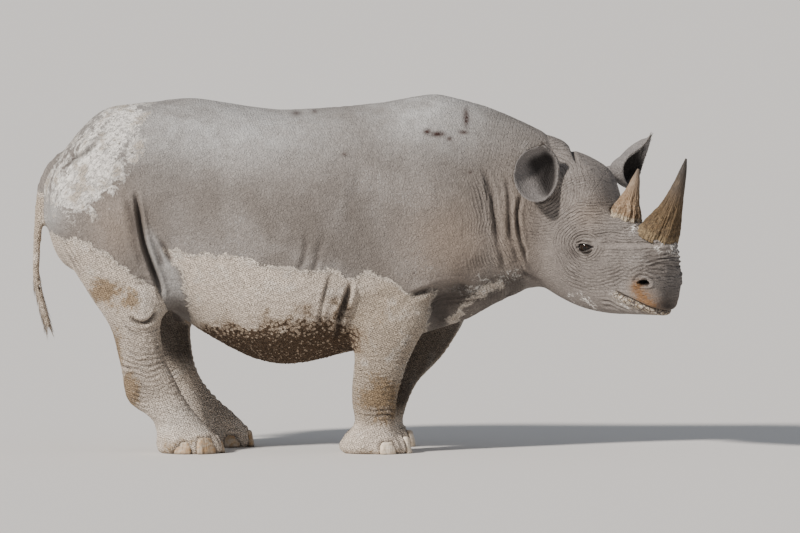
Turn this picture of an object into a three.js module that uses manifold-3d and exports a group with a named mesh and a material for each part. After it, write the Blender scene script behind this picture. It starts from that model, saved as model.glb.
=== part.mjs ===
// A black rhinoceros (Diceros bicornis) at life size, standing still with its head turned to its right.
//
// Millimetres, +X towards the nose, +Y to the animal's left, +Z up. The flesh is one smooth field, blended
// from lofts along the trunk, head, legs and tail and from named swellings and hollows. The field is walked
// into a mesh, and thin cuts part it into trunk, neck, head, legs and feet. Horns, eyes, nails, ears and the
// tail are pieces of their own that sit in sockets.

import * as THREE from 'three';
import { mergeVertices } from 'three/addons/utils/BufferGeometryUtils.js';
import Module from 'manifold-3d';

const wasm = await Module();
wasm.setup();

// ---------------------------------------------------------------- driving dimensions

const GAP = 0.3; // left between pieces that touch
const SLIVER = 0.02; // edges whose loss changes a surface by less than this are closed up after the cuts
const SIDES = { right: -1, left: 1 }; // sign of y on each side of the body

// The trunk and neck, from the rump forwards. Each station is a cross-section: where it is, the top of the
// back, the underside, the half width, the height of the widest line, and how far it swings to the left.
const TRUNK_STATIONS = [
  //  x,   top, under, half, widest, swing
  [-1370, 1150, 1010, 30, 1085, 0],
  [-1345, 1220, 905, 140, 1060, 0],
  [-1300, 1292, 820, 212, 1040, 0],
  [-1225, 1386, 775, 268, 1030, 0],
  [-1140, 1467, 745, 308, 1020, 0],
  [-1050, 1502, 730, 334, 1000, 0],
  [-960, 1508, 705, 352, 980, 0],
  [-870, 1514, 645, 364, 940, 0],
  [-755, 1530, 560, 380, 890, 0],
  [-640, 1517, 490, 390, 850, 0],
  [-520, 1495, 424, 409, 815, 0],
  [-400, 1478, 382, 420, 795, 0],
  [-300, 1472, 372, 423, 790, 0],
  [-180, 1481, 392, 416, 800, 0],
  [-30, 1497, 434, 392, 835, 0],
  [90, 1508, 458, 363, 885, 0],
  [200, 1533, 482, 334, 925, 0],
  [330, 1548, 528, 310, 960, 0],
  [460, 1524, 578, 284, 990, 0],
  [530, 1500, 612, 264, 1010, -4],
  [615, 1470, 650, 244, 1020, -8],
  [700, 1426, 692, 224, 1030, -14],
  [790, 1386, 726, 190, 1035, -22],
  [875, 1344, 790, 152, 1040, -32],
  [945, 1268, 880, 104, 1060, -44],
];

// Legs, from the sole up: height, place along the body, place out to the side, half depth, half width.
const FORELEG_STATIONS = [
  [-20, 102, 226, 128, 96],
  [0, 101, 226, 139, 100],
  [22, 90, 226, 154, 112],
  [45, 84, 226, 146, 112],
  [87, 86, 227, 109, 99],
  [130, 97, 228, 88, 85],
  [174, 96, 229, 92, 84],
  [218, 95, 230, 97, 86],
  [304, 106, 232, 103, 89],
  [392, 126, 234, 114, 95],
  [479, 145, 235, 137, 104],
  [566, 165, 234, 161, 114],
  [653, 172, 230, 181, 121],
  [740, 190, 224, 203, 126],
  [850, 208, 212, 212, 122],
  [950, 220, 196, 196, 108],
  [1050, 232, 175, 150, 84],
];
const HINDLEG_STATIONS = [
  [-20, -728, 218, 126, 88],
  [0, -728, 218, 132, 94],
  [25, -733, 218, 145, 108],
  [60, -738, 218, 134, 104],
  [100, -750, 219, 118, 93],
  [140, -772, 220, 106, 83],
  [178, -803, 221, 108, 79],
  [218, -845, 222, 126, 80],
  [258, -870, 223, 128, 82],
  [304, -885, 224, 117, 82],
  [392, -917, 228, 103, 84],
  [457, -939, 232, 103, 91],
  [522, -955, 236, 103, 100],
  [574, -971, 240, 118, 108],
  [631, -987, 242, 145, 114],
  [696, -1012, 242, 172, 119],
  [783, -1042, 240, 190, 130],
  [870, -1076, 240, 200, 134],
  [957, -1110, 234, 203, 134],
  [1044, -1128, 218, 196, 124],
  [1130, -1120, 192, 168, 100],
];

// How far each leg is shifted forwards from the stations above: [height, shift] pairs.
const STANCE = {
  foreleg_right: [
    [-20, -30], [90, -30], [180, -33], [300, -35],
    [500, -35], [620, -26], [800, -10], [1100, 0],
  ],
  foreleg_left: [
    [-20, -14], [80, -8], [190, 20], [283, 44],
    [391, 114], [560, 136], [800, 76], [1100, 0],
  ],
  hindleg_right: [
    [-20, -4], [60, -8], [140, -20], [220, -28],
    [300, -26], [400, -22], [500, -14], [640, 0], [1200, 0],
  ],
  hindleg_left: [
    [-20, 112], [80, 122], [150, 120], [218, 88], [300, 68],
    [450, 98], [560, 106], [800, 60], [1150, 0],
  ],
};

// The head in its own frame: u runs from the crest of the neck to the lips, v up out of the forehead, w to
// the animal's right. Stations: place along u, top, underside, half width, level of the widest line, and how
// square the top is.
const HEAD_PLACE = { x: 925, y: -70, z: 1300, turn: 36, droop: 39 }; // crest of the neck; degrees
const HEAD_STATIONS = [
  [-80, -110, -340, 110, -200, 2.4],
  [-30, -30, -410, 150, -210, 2.6],
  [20, 6, -450, 172, -220, 2.8],
  [71, 22, -476, 178, -230, 3.0],
  [110, 32, -496, 178, -235, 3.1],
  [158, 34, -514, 176, -240, 3.1],
  [205, 18, -526, 173, -242, 3.1],
  [255, -12, -533, 168, -242, 3.0],
  [300, -38, -533, 162, -240, 2.8],
  [340, -46, -528, 154, -238, 2.6],
  [400, -34, -512, 144, -235, 2.5],
  [460, -12, -490, 136, -230, 2.4],
  [520, 0, -460, 129, -220, 2.4],
  [590, 8, -416, 122, -205, 2.4],
  [640, 20, -378, 117, -190, 2.4],
  [672, 20, -348, 115, -182, 2.4],
  [700, -10, -324, 113, -178, 2.4],
  [730, -60, -300, 108, -176, 2.4],
  [765, -106, -274, 92, -178, 2.3],
  [795, -148, -250, 66, -190, 2.2],
  [815, -186, -228, 26, -205, 2.0],
];

// Swellings (positive) and hollows (negative) of the body, mirrored to both sides:
// [x, |y|, z], [reach in x, y, z], how far the flesh is pushed out.
const BODY_FORMS = {
  shoulder_blade: [[300, 300, 1190], [110, 120, 190], 16],
  shoulder_point: [[420, 270, 860], [110, 90, 130], 18],
  upper_arm: [[130, 330, 800], [150, 80, 130], 16],
  behind_elbow: [[-60, 330, 640], [60, 90, 130], -16],
  behind_shoulder: [[20, 400, 1050], [70, 90, 220], -12],
  hip_bone: [[-850, 290, 1380], [70, 90, 60], 20],
  rump: [[-1130, 270, 1290], [120, 110, 110], 18],
  flank_hollow: [[-770, 390, 1130], [110, 90, 150], -24],
  buttock: [[-1240, 190, 960], [90, 90, 150], 22],
  stifle: [[-868, 290, 655], [52, 80, 62], 22],
  below_stifle: [[-856, 280, 570], [40, 80, 34], -12],
  hock_point: [[-962, 226, 250], [30, 40, 44], 12],
  shin: [[-860, 235, 420], [50, 60, 80], -6],
  wrist: [[130, 250, 330], [60, 70, 70], 6],
  spine: [[-500, 0, 1500], [500, 60, 60], 8],
  neck_crest: [[700, 0, 1430], [160, 60, 60], 8],
  brisket: [[430, 0, 590], [90, 110, 60], 18],
  nape_roll: [[902, 72, 1306], [34, 90, 30], 9],
};

// Swellings and hollows of the head, mirrored: [u, v, |w|], [reach], push.
const HEAD_FORMS = {
  brow: [[352, -128, 124], [52, 34, 34], 16],
  temple: [[240, -150, 158], [70, 60, 50], -12],
  cheek: [[270, -360, 140], [100, 90, 60], 12],
  eyelids: [[383, -206, 140], [34, 26, 30], 9],
  below_eye: [[430, -300, 130], [80, 50, 50], -10],
  rear_horn_boss: [[392, -24, 0], [74, 40, 80], 14],
  front_horn_boss: [[585, 26, 0], [90, 40, 90], 10],
  nostril_wing: [[704, -118, 112], [48, 44, 36], 24],
  muzzle_side: [[620, -190, 124], [60, 50, 40], -8],
  upper_lip: [[770, -190, 60], [44, 44, 60], 10],
  lower_lip: [[690, -310, 60], [70, 34, 60], 8],
  ear_root: [[88, -104, 150], [50, 50, 44], 22],
  jaw_angle: [[290, -450, 110], [70, 50, 50], 10],
};

// The mouth: a slit round the muzzle, from corner to corner. It lies on a slope through a middle point.
const MOUTH = { middle: [640, -258], slope: 16, corner: 122, wide: 5, deep: 22, steps: 12 };

// Nostrils, cut out of the head: middle, half sizes along the hole, across it and inwards, and its tilt.
const NOSTRIL = { u: 704, v: -130, half: [32, 13, 34], tilt: -38 };

// Horns: middle of the base and the tip on the head's midline, how far the middle bows forwards, how deep the
// base sits in its socket, and sections: share of the length, half sizes along and across the head.
const HORNS = {
  horn_front: {
    foot: [570, 16],
    tip: [474, 366],
    bow: 12,
    sunk: 22,
    sides: 14,
    sections: [
      [0, 106, 90], [0.15, 98, 82], [0.26, 79, 68], [0.38, 59, 52],
      [0.52, 42, 38], [0.68, 27, 25], [0.84, 15, 14], [1, 4, 4],
    ],
  },
  horn_rear: {
    foot: [388, -36],
    tip: [310, 168],
    bow: 2,
    sunk: 18,
    sides: 12,
    sections: [[0, 80, 70], [0.14, 72, 62], [0.3, 56, 48], [0.52, 39, 34], [0.76, 22, 19], [1, 4, 4]],
  },
};

const EYE = { u: 383, v: -206, radius: 30, sunk: 19 };

// Ears, in the body's axes: root, middle and tip of the curved middle line, and the way the cup opens.
const EARS = {
  ear_right: { line: [[824, -182, 1150], [786, -248, 1234], [816, -300, 1350]], opens: [0.3, -0.93, 0.2] },
  ear_left: { line: [[1040, 56, 1136], [1180, 126, 1212], [1277, 112, 1378]], opens: [0.8, -0.3, -0.52] },
};
// Sections of an ear along its middle line: share of the length, half width, half depth, how open the cup is.
const EAR_SECTIONS = [
  [0, 44, 44, 0],
  [0.18, 60, 50, 0.3],
  [0.36, 82, 58, 0.7],
  [0.56, 90, 56, 1],
  [0.74, 74, 44, 1],
  [0.89, 38, 25, 1],
  [1, 8, 8, 0],
];
const EAR = { wall: 9, stalk: 20, sides: 12 };

// Nails: three on each foot, as [turn towards the midline in degrees, half width, height].
const NAILS = { middle: [0, 54, 80], inner: [58, 42, 62], outer: [-58, 42, 62] };
// How far each foot is turned towards the midline, in degrees; less than nothing is outwards.
const TOES = { foreleg_right: 0, foreleg_left: 0, hindleg_right: -50, hindleg_left: 0 };
const NAIL = { proud: 12, deep: 24, boxy: 2.6, lean: 10 };

// The tail, from its root inside the rump: [x, z, half depth, half width].
const TAIL_STATIONS = [
  [-1236, 1272, 34, 36],
  [-1300, 1262, 34, 35],
  [-1346, 1216, 29, 31],
  [-1382, 1150, 22, 25],
  [-1394, 1066, 20, 21],
  [-1405, 913, 18, 19],
  [-1411, 783, 17, 18],
  [-1401, 696, 17, 18],
  [-1378, 609, 17, 20],
  [-1364, 556, 15, 20],
  [-1358, 526, 6, 10],
];
const TAIL_SIDES = 8;

// Where the thin cuts run. Outlines are seen from the side, as [x, z], and cut straight through in y.
const CUTS = {
  neck: [[470, 300], [545, 1700], [2000, 1700], [2000, 300]],
  foreleg: [
    [-210, -60], [-210, 330], [-96, 425], [-62, 560], [-10, 690], [95, 752],
    [215, 762], [340, 722], [425, 620], [480, 480], [560, 330], [560, -60],
  ],
  hindleg: [
    [-1500, -60], [-1500, 800], [-1330, 880], [-1130, 940], [-985, 925], [-895, 850],
    [-838, 710], [-765, 560], [-640, 400], [-470, 300], [-470, -60],
  ],
};
// The cut between neck and head: its top and bottom seen from the side, and how far it turns with the head.
const HEAD_CUT = { top: [840, 1400], bottom: [720, 600], turn: 16 };
const FOOT_CUT = { foreleg: 128, hindleg: 122 }; // height of the cut between leg and foot
const MIDLINE_CLEAR = 62; // the legs' cuts stop this far from the middle of the body

// How each flesh piece is meshed: size of a grid cell, and the triangles it is thinned to.
const MESH = {
  trunk: { cell: 36.5, triangles: 1340 },
  neck: { cell: 26, triangles: 560 },
  head: { cell: 13, triangles: 1560 },
  leg: { cell: 21, triangles: 280 },
  foot: { cell: 13, triangles: 170 },
};

// ---------------------------------------------------------------- finishes

const HIDE = new THREE.MeshStandardMaterial({ color: 0x9a9087, roughness: 0.9, metalness: 0 });
const MUD = new THREE.MeshStandardMaterial({ color: 0xbcae9a, roughness: 0.95, metalness: 0 });
const HORN = new THREE.MeshStandardMaterial({ color: 0x6f5a40, roughness: 0.75, metalness: 0 });
const NAIL_HORN = new THREE.MeshStandardMaterial({ color: 0xb09a7c, roughness: 0.8, metalness: 0 });
const EYE_WET = new THREE.MeshStandardMaterial({ color: 0x1b1410, roughness: 0.1, metalness: 0 });

// ---------------------------------------------------------------- helpers

/** A smooth table: the first number of each row is the place, and the rest are blended between rows. */
function table(rows) {
  const width = rows[0].length - 1;
  const curve = new THREE.CubicInterpolant(rows.map((r) => r[0]), rows.flatMap((r) => r.slice(1)), width);
  return (place) => curve.evaluate(place);
}

/** How far (a, b) is outside an oval whose half sizes are sizeA and sizeB; power 2 is an ellipse. */
function outsideOval(a, b, sizeA, sizeB, power) {
  const reach = Math.hypot(a, b);
  const ratio = (Math.abs(a / sizeA) ** power + Math.abs(b / sizeB) ** power) ** (1 / power);
  return ratio < 1e-6 ? -Math.min(sizeA, sizeB) : reach - reach / ratio;
}

/** The smaller of two distances, with the corner between them rounded over the reach. */
function blend(a, b, reach) {
  const h = Math.max(reach - Math.abs(a - b), 0) / reach;
  return Math.min(a, b) - (h * h * reach) / 4;
}

/** How far the named forms push the flesh out at a point. */
function pushOf(forms, a, b, c) {
  let push = 0;
  for (const [at, reach, amount] of forms) {
    const fall = [a, b, c].reduce((sum, value, n) => sum + ((value - at[n]) / reach[n]) ** 2, 0);
    if (fall < 9) push += amount * Math.exp(-fall);
  }
  return push;
}

const headFrame = new THREE.Matrix4()
  .makeTranslation(HEAD_PLACE.x, HEAD_PLACE.y, HEAD_PLACE.z)
  .multiply(new THREE.Matrix4().makeRotationZ(THREE.MathUtils.degToRad(-HEAD_PLACE.turn)))
  .multiply(new THREE.Matrix4().makeRotationY(THREE.MathUtils.degToRad(HEAD_PLACE.droop)))
  .multiply(new THREE.Matrix4().makeBasis(
    new THREE.Vector3(1, 0, 0), new THREE.Vector3(0, 0, 1), new THREE.Vector3(0, -1, 0)));
const intoHead = headFrame.clone().invert();

// ---------------------------------------------------------------- the flesh as a field

const trunkAt = table(TRUNK_STATIONS);
const headAt = table(HEAD_STATIONS);
const legAt = { foreleg: table(FORELEG_STATIONS), hindleg: table(HINDLEG_STATIONS) };
const stanceAt = Object.fromEntries(Object.entries(STANCE).map(([leg, rows]) => [leg, table(rows)]));
const bodyForms = Object.values(BODY_FORMS);
const headForms = Object.values(HEAD_FORMS);

/** Distance outside one end of a loft, and inside it the distance to the loft's side. */
function pastEnds(place, first, last, side) {
  const past = Math.max(first - place, place - last);
  return past > 0 ? Math.hypot(past, Math.max(side, 0)) : side;
}

/** Distance outside the trunk and neck. */
function trunkField(x, y, z) {
  const first = TRUNK_STATIONS[0][0];
  const last = TRUNK_STATIONS.at(-1)[0];
  const [top, under, half, widest, swing] = trunkAt(THREE.MathUtils.clamp(x, first, last));
  const rise = z > widest ? top - widest : widest - under;
  const side = outsideOval(y - swing, z - widest, half, rise, z > widest ? 2.4 : 2.15);
  return pastEnds(x, first, last, side);
}

/** Distance outside one leg, whose name is foreleg or hindleg with its side. */
function legField(leg, x, y, z) {
  const [kind, side] = leg.split('_');
  const stations = kind === 'foreleg' ? FORELEG_STATIONS : HINDLEG_STATIONS;
  const place = THREE.MathUtils.clamp(z, stations[0][0], stations.at(-1)[0]);
  const [along, out, halfDepth, halfWidth] = legAt[kind](place);
  const shift = stanceAt[leg](place)[0];
  const oval = outsideOval(x - along - shift, y - SIDES[side] * out, halfDepth, halfWidth, 2.2);
  return pastEnds(z, stations[0][0], stations.at(-1)[0], oval);
}

/** Distance outside the head, without its neck. */
function headField(x, y, z) {
  const [u, v, w] = new THREE.Vector3(x, y, z).applyMatrix4(intoHead).toArray();
  const first = HEAD_STATIONS[0][0];
  const last = HEAD_STATIONS.at(-1)[0];
  const [top, under, half, widest, square] = headAt(THREE.MathUtils.clamp(u, first, last));
  const rise = v > widest ? top - widest : widest - under;
  const side = outsideOval(w, v - widest, half, rise, v > widest ? square : 2.3);
  return pastEnds(u, first, last, side) - pushOf(headForms, u, v, Math.abs(w));
}

/** Distance outside the whole animal, less its tail, ears, horns, eyes and nails. */
function flesh(x, y, z) {
  let d = trunkField(x, y, z);
  for (const leg of Object.keys(STANCE)) {
    const reach = leg.startsWith('hind') ? 90 : 70;
    if (z < 1250) d = blend(d, legField(leg, x, y, z), reach);
  }
  d -= pushOf(bodyForms, x, Math.abs(y), z);
  return x > 500 ? blend(d, headField(x, y, z), 60) : d;
}

// ---------------------------------------------------------------- from field to mesh

/** The surface where a field is zero inside a box, as a closed mesh with a vertex in each cell it crosses. */
function surfaceNet(field, box, cell) {
  const size = box.getSize(new THREE.Vector3());
  const count = [size.x, size.y, size.z].map((s) => Math.ceil(s / cell) + 3);
  const low = box.min.toArray();
  const at = (i, j, k) => [i, j, k].map((n, axis) => low[axis] + (n - 1) * cell);
  const atEdge = (i, j, k) => [i, j, k].some((n, axis) => n === 0 || n > count[axis] - 2);
  const index = (i, j, k) => (k * count[1] + j) * count[0] + i;
  const values = new Float32Array(count[0] * count[1] * count[2]);
  for (let k = 0; k < count[2]; k++) {
    for (let j = 0; j < count[1]; j++) {
      for (let i = 0; i < count[0]; i++) {
        values[index(i, j, k)] = atEdge(i, j, k) ? cell : field(...at(i, j, k)) || 1e-3;
      }
    }
  }
  const corners = [0, 1, 2, 3, 4, 5, 6, 7].map((n) => [n & 1, (n >> 1) & 1, n >> 2]);
  const edges = [];
  corners.forEach((a, m) => corners.forEach((b, n) => {
    const differing = a.filter((value, axis) => value !== b[axis]).length;
    if (n > m && differing === 1) edges.push([m, n]);
  }));
  const positions = [];
  const vertexOf = new Map();
  const faces = [];
  for (let k = 0; k < count[2] - 1; k++) {
    for (let j = 0; j < count[1] - 1; j++) {
      for (let i = 0; i < count[0] - 1; i++) {
        const v = corners.map(([a, b, c]) => values[index(i + a, j + b, k + c)]);
        if (v.every((d) => d > 0) || v.every((d) => d < 0)) continue;
        const mean = new THREE.Vector3();
        let crossings = 0;
        for (const [m, n] of edges) {
          if (v[m] > 0 === v[n] > 0) continue;
          const t = v[m] / (v[m] - v[n]);
          mean.add(new THREE.Vector3(...corners[m]).lerp(new THREE.Vector3(...corners[n]), t));
          crossings++;
        }
        mean.divideScalar(crossings).multiplyScalar(cell).add(new THREE.Vector3(...at(i, j, k)));
        vertexOf.set(index(i, j, k), positions.length / 3);
        positions.push(...settle(field, mean, cell).toArray());
      }
    }
  }
  // Each grid edge that crosses the surface is ringed by four cells, whose vertices make two triangles.
  for (const cellIndex of vertexOf.keys()) {
    const i = cellIndex % count[0];
    const j = Math.floor(cellIndex / count[0]) % count[1];
    const k = Math.floor(cellIndex / count[0] / count[1]);
    const here = values[cellIndex] > 0;
    for (const [di, dj, dk] of [[1, 0, 0], [0, 1, 0], [0, 0, 1]]) {
      if (values[index(i + di, j + dj, k + dk)] > 0 === here) continue;
      const [p, q] = [[dj, dk, di], [dk, di, dj]];
      const ring = [[0, 0], [1, 0], [1, 1], [0, 1]].map(([a, b]) =>
        vertexOf.get(index(i - a * p[0] - b * q[0], j - a * p[1] - b * q[1], k - a * p[2] - b * q[2])));
      if (!here) ring.reverse();
      faces.push(ring[0], ring[1], ring[2], ring[0], ring[2], ring[3]);
    }
  }
  return new THREE.BufferGeometry()
    .setAttribute('position', new THREE.Float32BufferAttribute(positions, 3))
    .setIndex(faces);
}

/** Moves a point down the field's slope onto its surface, never further than a cell. */
function settle(field, point, cell) {
  const start = point.clone();
  const step = cell / 20;
  for (let turn = 0; turn < 3; turn++) {
    const { x, y, z } = point;
    const slope = new THREE.Vector3(
      field(x + step, y, z) - field(x - step, y, z),
      field(x, y + step, z) - field(x, y - step, z),
      field(x, y, z + step) - field(x, y, z - step),
    ).divideScalar(2 * step);
    point.addScaledVector(slope, -field(x, y, z) / Math.max(slope.lengthSq(), 0.2));
  }
  return point.distanceTo(start) < cell ? point : start;
}

/** A closed mesh as a solid that can be cut and joined. */
function solidOf(geometry) {
  const bare = new THREE.BufferGeometry().setAttribute('position', geometry.getAttribute('position'));
  if (geometry.index) bare.setIndex(geometry.index);
  const merged = mergeVertices(bare, 1e-4);
  return new wasm.Manifold(new wasm.Mesh({
    numProp: 3,
    vertProperties: new Float32Array(merged.getAttribute('position').array),
    triVerts: new Uint32Array(merged.index.array),
  }));
}

/**
 * Thins a closed mesh to about so many triangles, each time closing up the edge that matters least, and never
 * one that would move the surface by more than the given error (in triangle areas times squared distance).
 */
function thin(geometry, triangles, mostError = Infinity) {
  const position = geometry.getAttribute('position');
  const points = Array.from({ length: position.count }, (_, n) => (
    new THREE.Vector3().fromBufferAttribute(position, n)));
  const faces = Array.from({ length: geometry.index.count / 3 }, (_, n) => (
    [0, 1, 2].map((c) => geometry.index.getX(n * 3 + c))));
  const facesOf = points.map(() => new Set());
  faces.forEach((face, n) => face.forEach((v) => facesOf[v].add(n)));
  const quadrics = points.map(() => new Array(10).fill(0));
  for (const face of faces) {
    const [a, b, c] = face.map((v) => points[v]);
    const normal = b.clone().sub(a).cross(c.clone().sub(a));
    const area = normal.length();
    const { x, y, z } = normal.normalize();
    const d = -normal.dot(a);
    const plane = [x * x, x * y, x * z, x * d, y * y, y * z, y * d, z * z, z * d, d * d];
    for (const v of face) plane.forEach((value, n) => { quadrics[v][n] += value * area; });
  }
  const stamps = new Uint32Array(points.length);
  const heap = [];
  const push = (item) => {
    let n = heap.push(item) - 1;
    while (n > 0 && heap[(n - 1) >> 1].cost > item.cost) {
      heap[n] = heap[(n - 1) >> 1];
      n = (n - 1) >> 1;
    }
    heap[n] = item;
  };
  const pop = () => {
    const least = heap[0];
    const item = heap.pop();
    if (heap.length === 0) return least;
    let n = 0;
    for (let child = 1; child < heap.length; child = 2 * n + 1) {
      if (child + 1 < heap.length && heap[child + 1].cost < heap[child].cost) child++;
      if (heap[child].cost >= item.cost) break;
      heap[n] = heap[child];
      n = child;
    }
    heap[n] = item;
    return least;
  };
  const consider = (a, b) => {
    const q = quadrics[a].map((value, n) => value + quadrics[b][n]);
    const matrix = new THREE.Matrix3().set(q[0], q[1], q[2], q[1], q[4], q[5], q[2], q[5], q[7]);
    const size = q[0] + q[4] + q[7];
    const point = points[a].clone().add(points[b]).multiplyScalar(0.5);
    if (Math.abs(matrix.determinant()) > 1e-4 * size ** 3) {
      const best = new THREE.Vector3(-q[3], -q[6], -q[8]).applyMatrix3(matrix.invert());
      if (best.distanceTo(point) < 2 * points[a].distanceTo(points[b])) point.copy(best);
    }
    const { x, y, z } = point;
    const error = q[0] * x * x + q[4] * y * y + q[7] * z * z + q[9]
      + 2 * (q[1] * x * y + q[2] * x * z + q[5] * y * z + q[3] * x + q[6] * y + q[8] * z);
    const cost = Math.max(error, 0) + 1e-3 * points[a].distanceToSquared(points[b]);
    if (error < mostError) push({ cost, a, b, point, stamp: stamps[a] + stamps[b] });
  };
  const neighbours = (v) => new Set([...facesOf[v]].flatMap((n) => faces[n]).filter((other) => other !== v));
  points.forEach((_, v) => neighbours(v).forEach((other) => { if (other > v) consider(v, other); }));
  let left = faces.length;
  while (left > triangles && heap.length > 0) {
    const { a, b, point, stamp } = pop();
    if (stamps[a] + stamps[b] !== stamp || facesOf[a].size === 0 || facesOf[b].size === 0) continue;
    const around = neighbours(b);
    const shared = [...neighbours(a)].filter((v) => around.has(v));
    const closes = (v) => [...facesOf[v]].some((n) => shared.every((other) => faces[n].includes(other)));
    if (!around.has(a) || shared.length !== 2 || (closes(a) && closes(b))) continue;
    const turns = [...facesOf[a], ...facesOf[b]].some((n) => {
      if (faces[n].includes(a) && faces[n].includes(b)) return false;
      const before = new THREE.Triangle(...faces[n].map((v) => points[v]));
      if (before.getArea() < 1e-2) return false;
      const after = new THREE.Triangle(...faces[n].map((v) => (v === a || v === b ? point : points[v])));
      return before.getNormal(new THREE.Vector3()).dot(after.getNormal(new THREE.Vector3())) < 0.3;
    });
    if (turns) continue;
    points[a].copy(point);
    quadrics[b].forEach((value, n) => { quadrics[a][n] += value; });
    for (const n of facesOf[b]) {
      if (faces[n].includes(a)) {
        faces[n].forEach((v) => facesOf[v].delete(n));
        left--;
      } else {
        faces[n] = faces[n].map((v) => (v === b ? a : v));
        facesOf[a].add(n);
      }
    }
    facesOf[b].clear();
    stamps[a] += 1e6;
    stamps[b] += 1e6;
    neighbours(a).forEach((other) => consider(a, other));
  }
  const kept = [...new Set(facesOf.flatMap((set) => [...set]))];
  return new THREE.BufferGeometry()
    .setAttribute('position', new THREE.Float32BufferAttribute(points.flatMap((p) => p.toArray()), 3))
    .setIndex(kept.flatMap((n) => faces[n]));
}

/** The flesh inside a box, thinned to about so many triangles, as a solid. */
function fleshSolid(field, box, { cell, triangles }) {
  return solidOf(thin(surfaceNet(field, box, cell), triangles));
}

// ---------------------------------------------------------------- solids

/** A closed skin over rings of points that all have the same count, with its ends capped. */
function loft(rings) {
  const sides = rings[0].length;
  const points = rings.flat();
  const faces = [];
  for (let r = 1; r < rings.length; r++) {
    for (let n = 0; n < sides; n++) {
      const [a, b] = [(r - 1) * sides + n, (r - 1) * sides + ((n + 1) % sides)];
      faces.push(a, b, b + sides, a, b + sides, a + sides);
    }
  }
  const ends = [rings[0], rings.at(-1)].map((ring) => {
    points.push(ring.reduce((sum, p) => sum.add(p), new THREE.Vector3()).divideScalar(sides));
    return points.length - 1;
  });
  for (let n = 0; n < sides; n++) {
    const next = (n + 1) % sides;
    const top = (rings.length - 1) * sides;
    faces.push(ends[0], next, n, ends[1], top + n, top + next);
  }
  return new THREE.BufferGeometry()
    .setAttribute('position', new THREE.Float32BufferAttribute(points.flatMap((p) => p.toArray()), 3))
    .setIndex(faces);
}

/** A ring of points round a centre, across two directions, with half sizes and a power (2 is an ellipse). */
function ring(centre, across, along, halfAcross, halfAlong, sides, power = 2) {
  return Array.from({ length: sides }, (_, n) => {
    const angle = (2 * Math.PI * n) / sides;
    const [c, s] = [Math.cos(angle), Math.sin(angle)];
    const a = Math.sign(c) * Math.abs(c) ** (2 / power) * halfAcross;
    const b = Math.sign(s) * Math.abs(s) ** (2 / power) * halfAlong;
    return centre.clone().addScaledVector(across, a).addScaledVector(along, b);
  });
}

/** A solid turned the right way out, whichever way its faces were wound. */
function outward(geometry) {
  const solid = solidOf(geometry);
  if (solid.volume() > 0) return solid;
  const flipped = geometry.clone();
  const index = Array.from(geometry.index.array);
  for (let n = 0; n < index.length; n += 3) [index[n], index[n + 1]] = [index[n + 1], index[n]];
  return solidOf(flipped.setIndex(index));
}

/** An outline seen from the side, [x, z] or [u, v], made solid between two values of the third axis. */
function slab(outline, from, to) {
  const shape = new THREE.Shape(outline.map(([x, z]) => new THREE.Vector2(x, z)));
  const geometry = new THREE.ExtrudeGeometry(shape, { depth: to - from, bevelEnabled: false });
  geometry.applyMatrix4(new THREE.Matrix4().makeBasis(
    new THREE.Vector3(1, 0, 0), new THREE.Vector3(0, 0, 1), new THREE.Vector3(0, -1, 0)));
  return outward(indexed(geometry.translate(0, to, 0)));
}

/** The same geometry with its corners shared. */
function indexed(geometry) {
  const bare = new THREE.BufferGeometry().setAttribute('position', geometry.getAttribute('position'));
  if (geometry.index) bare.setIndex(geometry.index);
  return mergeVertices(bare, 1e-4);
}

/** An outline moved inwards all round. */
function inset(outline, amount) {
  const area = THREE.ShapeUtils.area(outline.map(([x, z]) => new THREE.Vector2(x, z)));
  const inwards = Math.sign(area) * amount;
  return outline.map(([x, z], n) => {
    const before = new THREE.Vector2(...outline.at(n - 1));
    const after = new THREE.Vector2(...outline[(n + 1) % outline.length]);
    const here = new THREE.Vector2(x, z);
    const one = here.clone().sub(before).normalize();
    const two = after.sub(here).normalize();
    const normal = new THREE.Vector2(-one.y - two.y, one.x + two.x).normalize();
    const miter = inwards / Math.max(normal.dot(new THREE.Vector2(-one.y, one.x)), 0.4);
    return [x + normal.x * miter, z + normal.y * miter];
  });
}

/** A block between two corners. */
function block(x0, y0, z0, x1, y1, z1) {
  const geometry = new THREE.BoxGeometry(x1 - x0, y1 - y0, z1 - z0);
  return outward(indexed(geometry.translate((x0 + x1) / 2, (y0 + y1) / 2, (z0 + z1) / 2)));
}

/** A point of the head's frame in the body's frame. */
function headPoint(u, v, w) {
  return new THREE.Vector3(u, v, w).applyMatrix4(headFrame);
}

/** A direction of the head's frame in the body's frame. */
function headWay(u, v, w) {
  return new THREE.Vector3(u, v, w).transformDirection(headFrame);
}

/** Where a line going inwards from outside meets a field's surface. */
function meet(field, from, way, reach) {
  let [near, far] = [0, reach];
  for (let t = 0; t < reach; t += 4) {
    const p = from.clone().addScaledVector(way, t);
    if (field(p.x, p.y, p.z) < 0) {
      [near, far] = [Math.max(t - 4, 0), t];
      break;
    }
  }
  for (let turn = 0; turn < 12; turn++) {
    const middle = (near + far) / 2;
    const p = from.clone().addScaledVector(way, middle);
    if (field(p.x, p.y, p.z) < 0) far = middle;
    else near = middle;
  }
  return from.clone().addScaledVector(way, far);
}

// ---------------------------------------------------------------- horns, ears, eyes, nails

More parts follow.
